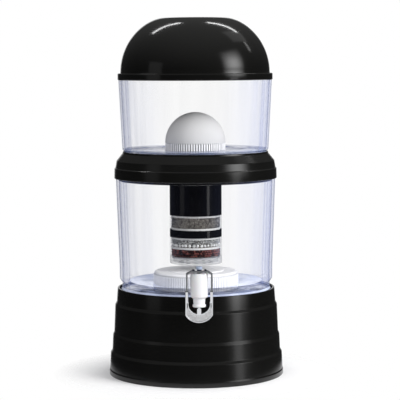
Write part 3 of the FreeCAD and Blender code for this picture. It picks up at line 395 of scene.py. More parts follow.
def palette():
    """Every material of the object, by a short name; made once."""
    made = bpy.context.scene.get("filter_palette")
    if made:
        return {key: bpy.data.materials[name] for key, name in made.items()}
    colours = bpy.context.scene.filter_colours
    materials = {
        "gloss": gloss_black(colours),
        "satin": satin_black(colours),
        "clear": clear_plastic("clear_plastic", tuple(colours.clear), 0.020, 0.20, 1.9, 0.9, flat_dark=True),
        # The floors' small glow is painted light.
        "clear_floor": clear_plastic("clear_plastic_floor", (0.31, 0.36, 0.54), 0.10, 0.80, 0.2, 1.2, 0.06,
                                     mirror=0.30, glow=0.08),
        "upper_floor": clear_plastic("clear_plastic_upper_floor", (0.16, 0.20, 0.36), 0.10, 0.80, 0.2, 1.2,
                                     0.06, glow=0.08, ior=1.12),
        "clear_thick": clear_plastic("clear_plastic_thick", (0.42, 0.49, 0.68), 0.22, 0.45, 0.3, 0.3),
        # The foot's paler tint and strong glow are painted light in the shaded recess at the tank's foot.
        "clear_foot": clear_plastic("clear_plastic_foot", (0.56, 0.62, 0.80), 0.62, 0.30, 0.3, 0.5,
                                    glow=0.30),
        "housing": clear_plastic("clear_cartridge_plastic", (0.30, 0.33, 0.42), 0.004, 0.20, 0.45, 0.3),
        "backed": black_behind_clear(),
        "cap": clear_plastic("clear_cap_plastic", (0.44, 0.46, 0.50), 0.16, 0.30, 0.3, 0.3),
        "white": white_plastic(colours),
        # The last number sets how dark the painted shade in the grooves is.
        "cup": ribbed_white(colours, radius_of("dome_base") - 0.9 * MM, "ribbed_white_cup", 0.22),
        "case": ribbed_white(colours, radius_of("mineral_case_body") - 0.8 * MM, "ribbed_white_case", 0.86),
        "ceramic": porous_ceramic(colours),
        "stem": rubber("blue_grey_plastic", (0.34, 0.40, 0.52)),
        "rubber": rubber("grey_rubber", (0.42, 0.42, 0.43)),
        "felt": felt("white_felt", (0.78, 0.78, 0.775)),
        "carbon": granular("activated_carbon", (0.003, 0.003, 0.0035), (0.009, 0.009, 0.010), 900.0, 0.12,
                           0.03),
        "black_mineral": granular("black_mineral", (0.003, 0.003, 0.0035), (0.014, 0.014, 0.016), 700.0,
                                  0.16, 0.12),
        "sand": stone("mineral_sand", [(0.035, 0.031, 0.027), (0.17, 0.155, 0.135), (0.34, 0.32, 0.29)],
                      0.5, 330.0, 3.2),
        "sand_core": granular("mineral_sand_core", (0.05, 0.045, 0.04), (0.2, 0.185, 0.165), 700.0, 0.6),
        "pebble": stone("white_pebbles", [(0.62, 0.63, 0.63), (0.88, 0.89, 0.89)], 0.3, 130.0),
        "grit": stone("grey_grit", [(0.20, 0.21, 0.21), (0.42, 0.43, 0.43), (0.60, 0.61, 0.60)], 0.45,
                      420.0),
        "ball": stone("red_clay_balls", [(0.022, 0.006, 0.005), (0.10, 0.022, 0.016), (0.24, 0.075, 0.060)],
                      0.3, 210.0),
        "ball_core": granular("red_clay_core", (0.008, 0.003, 0.003), (0.03, 0.008, 0.007), 500.0, 0.6),
        "case_stone": stone("case_stones", [(0.30, 0.27, 0.23), (0.55, 0.52, 0.47)], 0.5, 90.0),
        "chrome": chrome("chrome_plate", (0.80, 0.81, 0.83), 0.06),
        # Darker chrome for the lever's arms: painted shade and painted dark reflection.
        "arm": chrome("shadowed_chrome", (0.20, 0.205, 0.215), 0.10),
        "frosted": chrome("frosted_chrome", (0.86, 0.865, 0.875), 0.26, 620.0),
        "steel": chrome("spring_steel", (0.55, 0.55, 0.56), 0.25),
    }
    bpy.context.scene["filter_palette"] = {key: material.name for key, material in materials.items()}
    return materials


def new_piece(name, mesh):
    """Object in the scene that shows a mesh."""
    piece = bpy.data.objects.new(name, mesh)
    bpy.context.scene.collection.objects.link(piece)
    return piece


def piece_of(name, build, material):
    """Object from a finished bmesh, in one material."""
    mesh = bpy.data.meshes.new(name)
    build.to_mesh(mesh)
    build.free()
    coat(mesh, material)
    return new_piece(name, mesh)


def coat(mesh, material):
    """Gives every face of a mesh one material."""
    mesh.materials.clear()
    mesh.materials.append(material)
    for polygon in mesh.polygons:
        polygon.material_index = 0


def softened(corners, steps=4):
    """Outline with rounded corners. A corner is (r, z) or (r, z, radius); the outline is closed."""
    points = []
    count = len(corners)
    for i, corner in enumerate(corners):
        here = Vector(corner[:2])
        reach = corner[2] if len(corner) > 2 else 0.0
        if not reach:
            points.append(here)
            continue
        to_a = (Vector(corners[i - 1][:2]) - here).normalized()
        to_b = (Vector(corners[(i + 1) % count][:2]) - here).normalized()
        half = to_a.angle(to_b) / 2
        start = here + to_a * (reach / math.tan(half))
        end = here + to_b * (reach / math.tan(half))
        centre = here + (to_a + to_b).normalized() * (reach / math.sin(half))
        for k in range(steps + 1):
            spoke = (start - centre).lerp(end - centre, k / steps)
            points.append(centre + spoke.normalized() * reach)
    return points


def turn(name, outline, material, segments=LARGE_ROUND):
    """Mesh of revolution about the Z axis, from a closed outline of (r, z)."""
    build = bmesh.new()
    rings = []
    for r, z in outline:
        if r < 1e-7:
            rings.append([build.verts.new((0.0, 0.0, z))])
            continue
        ring = []
        for k in range(segments):
            angle = 2 * math.pi * k / segments
            ring.append(build.verts.new((r * math.cos(angle), r * math.sin(angle), z)))
        rings.append(ring)
    for a, b in zip(rings, rings[1:] + rings[:1]):
        if len(a) == 1 and len(b) == 1:
            continue
        for k in range(segments):
            n = (k + 1) % segments
            if len(a) == 1:
                build.faces.new((a[0], b[n], b[k]))
            elif len(b) == 1:
                build.faces.new((a[k], a[n], b[0]))
            else:
                build.faces.new((a[k], a[n], b[n], b[k]))
    bmesh.ops.recalc_face_normals(build, faces=build.faces)
    smooth_by_angle(build, TURNED_SHARP)
    return piece_of(name, build, material)


def smooth_by_angle(build, degrees):
    limit = math.radians(degrees)
    for face in build.faces:
        face.smooth = True
    for edge in build.edges:
        edge.smooth = len(edge.link_faces) == 2 and edge.calc_face_angle(0.0) < limit


def eased_copy(node, name, material, width=0.0):
    """Merged copy of a CAD node's mesh, with smooth curved faces and small bevels on its edges."""
    build = bmesh.new()
    build.from_mesh(NODES[node].data)
    bmesh.ops.remove_doubles(build, verts=build.verts, dist=1e-6)
    bmesh.ops.dissolve_limit(build, angle_limit=math.radians(0.6), verts=build.verts, edges=build.edges)
    smooth_by_angle(build, COPIED_SHARP)
    piece = piece_of(name, build, material)
    if width:
        bevel = piece.modifiers.new("edges", "BEVEL")
        bevel.width = width
        bevel.segments = 2
        bevel.limit_method = "ANGLE"
        bevel.angle_limit = math.radians(COPIED_SHARP)
        bevel.harden_normals = False
        freeze(piece)
    return piece


def freeze(piece):
    """Turns a piece and its modifiers into a plain mesh."""
    bpy.context.view_layer.update()
    evaluated = piece.evaluated_get(bpy.context.evaluated_depsgraph_get())
    mesh = bpy.data.meshes.new_from_object(evaluated)
    piece.modifiers.clear()
    piece.data = mesh
    mesh.name = piece.name


def zone(piece, material, bottom, top, level=False):
    """Gives the faces between two heights another material; level leaves out the steep ones."""
    piece.data.materials.append(material)
    index = len(piece.data.materials) - 1
    for polygon in piece.data.polygons:
        if bottom < polygon.center.z < top and (not level or abs(polygon.normal.z) > FLAT_ENOUGH):
            polygon.material_index = index


def seat(piece, body, *nodes, slot=None):
    """Rides a piece on a body in place of CAD nodes."""
    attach(piece, body)
    if nodes:
        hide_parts(*nodes)


def seat_copy(node, name, key, body, bevel=0.0, slot="white_plastic"):
    """Rides an eased copy of a CAD node on a body in the node's place."""
    seat(eased_copy(node, name, palette()[key], bevel), body, node, slot=slot)


def dress(node, material):
    """Gives a CAD node that stays its material."""
    coat(NODES[node].data, material)


def ring_tree():
    """Geometry tree: rows of stones in rings that lie behind each other, jittered by a fixed seed."""
    half_step, ring_step, skin = 0.5, 1.75, 0.1
    tree = bpy.data.node_groups.get("rings_of_stones")
    if tree:
        return tree
    tree = bpy.data.node_groups.new("rings_of_stones", "GeometryNodeTree")
    face = tree.interface
    face.new_socket("Geometry", in_out="INPUT", socket_type="NodeSocketGeometry")
    for label, kind in (("Outer radius", "Float"), ("Stone radius", "Float"), ("Bottom", "Float"),
                        ("Row pitch", "Float"), ("Per row", "Int"), ("Rows", "Int"), ("Depth", "Int"),
                        ("Unevenness", "Float"), ("Jitter", "Float"), ("Detail", "Int"), ("Seed", "Int")):
        face.new_socket(label, in_out="INPUT", socket_type="NodeSocket" + kind)
    face.new_socket("Material", in_out="INPUT", socket_type="NodeSocketMaterial")
    face.new_socket("Geometry", in_out="OUTPUT", socket_type="NodeSocketGeometry")
    graph = Graph(tree)
    given = graph.node("NodeGroupInput")
    stone_radius = given("Stone radius")
    per_row = given("Per row")
    count = per_row * given("Rows") * given("Depth")
    index = graph.node("GeometryNodeInputIndex")("Index")
    in_row = index % per_row
    level = (index / per_row).floor()
    row = level % given("Rows")
    depth = (level / given("Rows")).floor()

    def jitter(extra):
        drawn = graph.node("FunctionNodeRandomValue", {"data_type": "FLOAT"},
                           {2: -1.0, 3: 1.0, "Seed": given("Seed") + extra})
        return drawn(1) * given("Jitter") * stone_radius

    angle = (in_row + row * half_step + depth * half_step) / per_row * math.tau
    reach = given("Outer radius") - stone_radius * (1.0 + depth * ring_step) - stone_radius * skin
    slip = jitter(1) * 0.6
    reach = reach + slip * 0.25 - stone_radius * given("Jitter") * 0.2
    bend = angle + jitter(2) / given("Outer radius")
    height = given("Bottom") + stone_radius + row * given("Row pitch") + jitter(3) * 0.5
    place = graph.node("ShaderNodeCombineXYZ", {},
                       {0: reach * bend.cosine(), 1: reach * bend.sine(), 2: height})
    points = graph.node("GeometryNodePoints", {}, {"Count": count, "Position": place("Vector")})("Points")
    ball = graph.node("GeometryNodeMeshIcoSphere", {}, {"Radius": stone_radius,
                                                        "Subdivisions": given("Detail")})("Mesh")
    flat = 1.0 - given("Unevenness")
    smallest = graph.node("ShaderNodeCombineXYZ", {}, {0: flat, 1: flat, 2: flat})("Vector")
    size = graph.node("FunctionNodeRandomValue", {"data_type": "FLOAT_VECTOR"},
                      {0: smallest, 1: (1.0, 1.0, 1.0), "Seed": given("Seed") + 11})(0)
    spin = graph.node("FunctionNodeRandomValue", {"data_type": "FLOAT_VECTOR"},
                      {0: (0, 0, 0), 1: (math.tau, math.tau, math.tau), "Seed": given("Seed") + 12})(0)
    copies = graph.node("GeometryNodeInstanceOnPoints", {},
                        {"Points": points, "Instance": ball, "Rotation": spin, "Scale": size})("Instances")
    real = graph.node("GeometryNodeRealizeInstances", {}, {"Geometry": copies})("Geometry")
    smooth = graph.node("GeometryNodeSetShadeSmooth", {}, {"Geometry": real})("Geometry")
    coloured = graph.node("GeometryNodeSetMaterial", {}, {"Geometry": smooth, "Material": given("Material")})
    graph.node("NodeGroupOutput", {}, {"Geometry": coloured("Geometry")})
    return tree


def per_ring(radius, stone_radius, packing):
    """How many stones lie side by side in a ring."""
    return int(math.tau * radius / (stone_radius * packing))


def ring_of_stones(name, material, **inputs):
    """Plain mesh of stones in rings; the inputs are the tree's own, with underscores for spaces."""
    piece = new_piece(name, bpy.data.meshes.new(name))
    modifier = piece.modifiers.new("stones", "NODES")
    modifier.node_group = ring_tree()
    wanted = {key.replace("_", " "): value for key, value in inputs.items()}
    wanted["Material"] = material
    for item in modifier.node_group.interface.items_tree:
        if item.in_out == "INPUT" and item.name in wanted:
            modifier[item.identifier] = wanted[item.name]
    freeze(piece)
    return piece


class FILTER_OT_lid(bpy.types.Operator):
    """Build the gloss lid: flat crown, domed shoulder and stepped rim"""
    bl_idname = "filter.lid"
    bl_label = "Lid"

    def execute(self, context):
        sizes = context.scene.filter_sizes
        rim = radius_of("lid")
        bottom = low("lid")
        top = high("lid")
        rim_top = bottom + sizes.lid_rim
        tank_top = high("upper_tank")
        lip = radius_of("upper_tank") - 0.5 * MM

        def dome(radius, crown, height, count=40, up_power=2.05, out_power=1.65):
            points = []
            for k in range(count + 1):
                step = math.sin(math.pi / 2 * k / count)
                reach = max(0.0, 1.0 - step ** up_power) ** (1 / out_power)
                points.append(Vector((crown + (radius - crown) * reach, rim_top + (height - rim_top) * step)))
            return points

        outer = dome(sizes.dome_foot, sizes.crown_radius, top)
        inner = dome(sizes.dome_foot - sizes.lid_wall, sizes.crown_radius - sizes.lid_wall / 2,
                     top - sizes.lid_wall)
        corners = softened([
            (lip, tank_top), (lip, bottom), (rim, bottom, 1.2 * MM), (rim, rim_top, 1.8 * MM),
            (sizes.dome_foot + 0.4 * MM, rim_top)])
        outline = corners + outer[1:] + [Vector((0, top)), Vector((0, top - sizes.lid_wall))] + inner[::-1]
        outline.append(Vector((sizes.dome_foot - sizes.lid_wall, tank_top)))
        seat(turn("lid_shell", outline, palette()["gloss"]), "lid", "lid", slot="lid_black")
        return {"FINISHED"}


class FILTER_OT_tanks(bpy.types.Operator):
    """Build the two clear tanks"""
    bl_idname = "filter.tanks"
    bl_label = "Clear tanks"

    def execute(self, context):
        sizes = context.scene.filter_sizes
        self.upper(sizes)
        self.lower(sizes)
        return {"FINISHED"}

    def upper(self, sizes):
        top = high("upper_tank")
        seat_height = low("upper_tank")
        shoulder = low("lid") - 0.3 * MM
        rim = radius_of("upper_tank")
        wall = sizes.upper_wall
        foot = 116.5 * MM
        bottom_radius = 119.0 * MM
        floor = seat_height + 5.5 * MM
        underside = floor - 4 * MM
        stem = 10.3 * MM
        outline = softened([
            (stem, underside), (foot - 5 * MM, underside), (foot - 4.2 * MM, seat_height, 0.6 * MM),
            (foot, seat_height, 0.8 * MM), (foot, floor - 1 * MM),
            (bottom_radius, floor + 1.5 * MM, 2.0 * MM), (rim, shoulder, 0.2 * MM),
            (rim - 0.8 * MM, shoulder + 0.3 * MM), (rim - 0.8 * MM, top, 0.6 * MM),
            (rim - wall, top, 0.6 * MM), (rim - wall, shoulder), (bottom_radius - wall, floor, 4 * MM),
            (stem, floor)], 6)
        shell = turn("upper_tank_shell", outline, palette()["clear"])
        zone(shell, palette()["clear_thick"], 0, floor + 3 * MM)
        zone(shell, palette()["upper_floor"], 0, floor + 1.5 * MM, True)
        seat(shell, "upper", "upper_tank", slot="clear_plastic")

    def lower(self, sizes):
        bottom = low("lower_tank")
        top = high("lower_tank")
        rim = radius_of("lower_tank")
        wall = sizes.lower_wall
        foot = 124.9 * MM
        straight = bottom + 40 * MM
        floor = bottom + 4 * MM
        bend = 60 * MM
        ridge_top = floor + 0.35 * MM
        corners = softened([
            (foot, bottom, 10 * MM), (foot, straight, bend), (rim, top, 0.8 * MM),
            (rim - wall, top, 0.8 * MM), (foot - wall, straight, bend), (foot - wall, floor, 5.7 * MM)], 8)
        outline = [Vector((0, bottom))] + corners
        for ridge in (96 * MM, 84 * MM):
            outline += [Vector((ridge + 0.9 * MM, floor)), Vector((ridge + 0.4 * MM, ridge_top)),
                        Vector((ridge - 0.4 * MM, ridge_top)), Vector((ridge - 0.9 * MM, floor))]
        outline.append(Vector((0, floor)))
        shell = turn("lower_tank_shell", outline, palette()["clear"])
        # Pale glowing band at the foot: painted light where the recess is in shade.
        zone(shell, palette()["clear_foot"], 0, floor + 8 * MM)
        zone(shell, palette()["clear_floor"], 0, floor + 2 * MM, True)
        seat(shell, "tank", "lower_tank", slot="clear_plastic")


class FILTER_OT_collar(bpy.types.Operator):
    """Build the black collar between the tanks"""
    bl_idname = "filter.collar"
    bl_label = "Collar"

    def execute(self, context):
        bottom = low("collar")
        top = high("collar")
        band = radius_of("collar")
        band_foot = high("lower_tank") - 5.4 * MM
        tank_top = high("lower_tank")
        groove_out = radius_of("lower_tank") + 0.3 * MM
        groove_in = radius_of("lower_tank") - context.scene.filter_sizes.lower_wall - 0.3 * MM
        skirt = groove_in - 3.2 * MM
        lip = 116.8 * MM
        shoulder = 128.6 * MM
        step = tank_top + 10.8 * MM
        cone = step + 13.0 * MM
        seat_height = low("upper_tank")
        ledge = seat_height - 3 * MM
        opening = 106 * MM
        outline = softened([
            (skirt, bottom, 0.4 * MM), (groove_in - 0.4 * MM, bottom, 0.4 * MM), (groove_in, tank_top),
            (groove_out, tank_top), (groove_out, band_foot, 0.3 * MM), (band, band_foot, 1.1 * MM),
            (band - 0.4 * MM, step, 0.7 * MM), (band - 2.0 * MM, step + 1.4 * MM, 0.5 * MM),
            (shoulder - 0.1 * MM, cone - 0.4 * MM, 1.6 * MM), (lip + 1.9 * MM, top - 3.0 * MM, 1.5 * MM),
            (lip + 1.5 * MM, top, 0.7 * MM), (lip, top, 0.3 * MM), (lip, seat_height),
            (opening, seat_height, 0.4 * MM), (opening, ledge, 0.4 * MM), (lip - 1.8 * MM, ledge),
            (shoulder - 5.4 * MM, cone - 2.2 * MM), (shoulder - 3.2 * MM, cone - 5 * MM),
            (shoulder - 3.2 * MM, tank_top + 9 * MM), (skirt, tank_top + 3 * MM)], 5)
        seat(turn("collar_ring", outline, palette()["satin"]), "collar", "collar", slot="stand_black")
        return {"FINISHED"}


class FILTER_OT_stand(bpy.types.Operator):
    """Build the stepped black stand"""
    bl_idname = "filter.stand"
    bl_label = "Stand"

    def execute(self, context):
        top = high("base_stand")
        foot = radius_of("base_stand")
        deck = low("lower_tank")
        recess = 125.2 * MM
        rim = 128.3 * MM
        wall = 3.0 * MM
        foot_inside = foot - 4.9 * MM
        opening = 96 * MM
        fall = 2.3 * MM
        steps = ((116.5 * MM, 129.9 * MM, 132.5 * MM), (67.5 * MM, 134.4 * MM, 136.4 * MM),
                 (37.8 * MM, 137.6 * MM, 140.4 * MM))
        outer = [(recess, deck), (recess, top, 0.5 * MM), (rim, top, 1.2 * MM)]
        inner = []
        for height, above, below in steps:
            outer.append((above, height + fall, 0.9 * MM))
            outer.append((below, height - fall, 1.5 * MM))
            inner.append((above - wall, height + fall - wall))
            inner.append((below - wall, height - fall - wall))
        outer += [(foot - 0.9 * MM, 9.6 * MM, 0.8 * MM), (foot, 7.6 * MM, 1.0 * MM), (foot, 0.0, 1.0 * MM)]
        inside = [(foot_inside, 0.0), (foot_inside, 8 * MM)] + inner[::-1]
        inside += [(rim - wall, deck - wall), (opening, deck - wall, 0.5 * MM), (opening, deck, 0.5 * MM)]
        outline = softened(outer + inside, 5)
        seat(turn("stand_skirt", outline, palette()["satin"]), "stand", "base_stand", slot="stand_black")
        self.spokes(opening + 0.5 * MM, deck, wall)
        return {"FINISHED"}

    def spokes(self, reach, deck, wall):
        """Stiffening ribs across the deck's opening."""
        build = bmesh.new()
        for k in range(3):
            angle = math.radians(30 + 60 * k)
            along = Vector((math.cos(angle), math.sin(angle), 0)) * reach
            side = Vector((-math.sin(angle), math.cos(angle), 0)) * wall / 2
            corners = [build.verts.new(along * a + side * b + Vector((0, 0, z)))
                       for z in (deck - wall, deck - 0.02 * MM)
                       for a, b in ((-1, -1), (1, -1), (1, 1), (-1, 1))]
            for face in ((3, 2, 1, 0), (4, 5, 6, 7), (0, 1, 5, 4), (1, 2, 6, 5), (2, 3, 7, 6), (3, 0, 4, 7)):
                build.faces.new([corners[i] for i in face])
        seat(piece_of("stand_spokes", build, palette()["satin"]), "stand", slot="stand_black")


class FILTER_OT_dome(bpy.types.Operator):
    """Build the ceramic dome filter with its ribbed cup, seals and wing nut"""
    bl_idname = "filter.dome"
    bl_label = "Dome filter"

    def execute(self, context):
        materials = palette()
        radius = radius_of("dome_ceramic")
        bottom = low("dome_ceramic")
        centre = high("dome_ceramic") - radius
        inside = radius - 6 * MM
        edge = 0.6 * MM

        def quarter(reach, count=40):
            angles = [math.pi / 2 * k / count for k in range(count)]
            arc = [Vector((reach * math.cos(a), centre + reach * math.sin(a))) for a in angles]
            return arc + [Vector((0.0, centre + reach))]

        outline = [Vector((inside, bottom)), Vector((radius - edge, bottom)),
                   Vector((radius, bottom + edge))] + quarter(radius) + quarter(inside)[::-1]
        seat(turn("ceramic_dome", outline, materials["ceramic"], SMALL_ROUND), "dome", "dome_ceramic",
             slot="dome_ceramic")
        seat_copy("dome_base", "dome_cup", "cup", "dome")
        seat_copy("dome_nut", "wing_nut", "white", "nut", 0.5 * MM)
        for node in ("dome_gasket", "dome_washer"):
            dress(node, materials["rubber"])
        return {"FINISHED"}


class FILTER_OT_cartridge(bpy.types.Operator):
    """Build the cartridge's clear housing, caps and pads"""
    bl_idname = "filter.cartridge"
    bl_label = "Cartridge"

    def execute(self, context):
        materials = palette()
        radius = radius_of("cartridge_housing")
        bottom = low("cartridge_housing")
        top = high("cartridge_housing")
        inside = radius - 2 * MM
        black_beds = ("black_mineral_bed", "carbon_bed")
        cuts = [(radius, z) for node in black_beds for z in (low(node), high(node))]
        outline = softened([(inside, bottom), (radius, bottom, 0.3 * MM), *cuts, (radius, top, 0.5 * MM),
                            (inside, top)])
        tube = turn("cartridge_tube", outline, materials["housing"], SMALL_ROUND)
        for node in black_beds:
            zone(tube, materials["backed"], low(node), high(node))
        seat(tube, "cartridge", "cartridge_housing", slot="cartridge_clear")
        seat_copy("cartridge_bottom_cap", "cartridge_foot", "cap", "cartridge", 0.4 * MM, "cartridge_clear")
        seat_copy("cartridge_top_cap", "cartridge_cover", "white", "cartridge", 0.5 * MM)
        dress("cartridge_grid", materials["white"])
        dress("cartridge_gasket", materials["rubber"])
        dress("felt_pads", materials["felt"])
        return {"FINISHED"}


class FILTER_OT_beds(bpy.types.Operator):
    """Fill the cartridge: carbon, sand, grit with pebbles, and clay balls"""
    bl_idname = "filter.beds"
    bl_label = "Cartridge layers"

    def execute(self, context):
        materials = palette()
        sizes = context.scene.filter_sizes
        for node, key, inset, slot in (
                ("carbon_bed", "carbon", 0.0, "carbon"),
                ("black_mineral_bed", "black_mineral", 0.0, "black_mineral"),
                ("red_ball_bed", "ball_core", 4.6 * MM, "red_balls"),
                ("bead_bed", "sand_core", 3.0 * MM, "white_beads"),
                ("mineral_sand_bed", "sand_core", 2.2 * MM, "mineral_sand")):
            self.core(node, materials[key], inset, slot)
        self.rings("red_ball_bed", "clay_balls", materials["ball"], sizes.ball, 0.12, 0.35, "red_balls")
        self.rings("mineral_sand_bed", "sand_grains", materials["sand"], sizes.grain, 0.45, 0.8,
                   "mineral_sand")
        bottom = low("bead_bed")
        outer = radius_of("bead_bed")
        pebble_row = sizes.pebble * 1.7
        pebbles = ring_of_stones(
            "white_pebbles", materials["pebble"], Outer_radius=outer, Stone_radius=sizes.pebble,
            Bottom=bottom, Row_pitch=pebble_row, Per_row=per_ring(outer - sizes.pebble, sizes.pebble, 2.0),
            Rows=1, Depth=1, Unevenness=0.35, Jitter=0.25, Detail=3, Seed=5)
        seat(pebbles, "cartridge", slot="white_beads")
        grain = sizes.grain * 1.1
        start = bottom + pebble_row
        rows = int((high("bead_bed") - start - grain) / (grain * 1.7)) + 1
        grit = ring_of_stones(
            "grey_grit", materials["grit"], Outer_radius=outer, Stone_radius=grain, Bottom=start,
            Row_pitch=grain * 1.7, Per_row=per_ring(outer, grain, 2.0), Rows=rows, Depth=2,
            Unevenness=0.45, Jitter=0.6, Detail=2, Seed=8)
        seat(grit, "cartridge", slot="white_beads")
        dress("mineral_stones", materials["case_stone"])
        return {"FINISHED"}

    def core(self, node, material, inset, slot):
        """Solid middle of a bed, drawn in from the housing where loose stones lie round it."""
        radius = radius_of(node) - inset
        play = 0.02 * MM
        bottom = low(node) + play
        top = high(node) - play
        outline = [Vector((0, bottom)), Vector((radius, bottom)), Vector((radius, top)), Vector((0, top))]
        seat(turn(node.replace("_bed", "_core"), outline, material, CORE_ROUND), "cartridge", node, slot=slot)

    def rings(self, node, name, material, stone_radius, unevenness, jitter, slot):
        """Two rings of stones behind the tube's wall, over the whole height of a bed."""
        row_packing, ring_packing = 1.85, 2.04
        outer = radius_of(node)
        tall = high(node) - low(node)
        rows = round(tall / (stone_radius * row_packing))
        pitch = (tall - 2 * stone_radius) / (rows - 1)
        per_row = per_ring(outer - stone_radius, stone_radius, ring_packing)
        piece = ring_of_stones(
            name, material, Outer_radius=outer, Stone_radius=stone_radius, Bottom=low(node), Row_pitch=pitch,
            Per_row=per_row, Rows=rows, Depth=2, Unevenness=unevenness, Jitter=jitter, Detail=2, Seed=3)
        seat(piece, "cartridge", slot=slot)


class FILTER_OT_case(bpy.types.Operator):
    """Build the ribbed white mineral case"""
    bl_idname = "filter.case"
    bl_label = "Mineral case"

    def execute(self, context):
        seat_copy("mineral_case_body", "case_tub", "case", "case")
        seat_copy("mineral_case_lid", "case_cover", "case", "case_lid")
        return {"FINISHED"}


def polish_rim(piece, material):
    """Gives the paddle's raised rim its polish; the field behind it stays frosted."""
    lean = math.radians(13.5)
    aligned = 0.98
    rim_depth = 0.3 * MM
    front = Vector((0, -math.cos(lean), -math.sin(lean)))
    piece.data.materials.append(material)
    facing = [polygon for polygon in piece.data.polygons if polygon.normal.dot(front) > aligned]
    nearest = max(polygon.center.dot(front) for polygon in facing)
    for polygon in piece.data.polygons:
        if polygon not in facing or polygon.center.dot(front) > nearest - rim_depth:
            polygon.material_index = 1


class FILTER_OT_tap(bpy.types.Operator):
    """Build the tap: body, bonnet, seals, nut, stem, spring, lever and paddle"""
    bl_idname = "filter.tap"
    bl_label = "Tap"

    def execute(self, context):
        materials = palette()
        seat_copy("tap_body", "tap_casting", "white", "tank")
        seat_copy("tap_bonnet", "tap_cover", "white", "tank", 0.25 * MM)
        seat_copy("tap_lock_nut", "tap_nut", "white", "tank", 0.5 * MM)
        seat_copy("tap_valve_stem", "valve_rod", "stem", "valve", 0.3 * MM)
        stirrup = eased_copy("tap_lever", "lever_stirrup", materials["chrome"], 0.45 * MM)
        # The arms above the paddle get the darker chrome: painted shade and painted dark reflection.
        zone(stirrup, materials["arm"], high("tap_paddle") + 12 * MM, TO_THE_TOP)
        seat(stirrup, "lever", "tap_lever", slot="chrome")
        paddle = eased_copy("tap_paddle", "lever_paddle", materials["frosted"], 0.35 * MM)
        polish_rim(paddle, materials["chrome"])
        seat(paddle, "lever", "tap_paddle", slot="paddle_metal")
        for node in ("tap_outer_washer", "tap_inner_washer", "tap_valve_seal"):
            dress(node, materials["rubber"])
        for node in ("tap_spring", "tap_pivot_pin"):
            dress(node, materials["steel"])
        return {"FINISHED"}


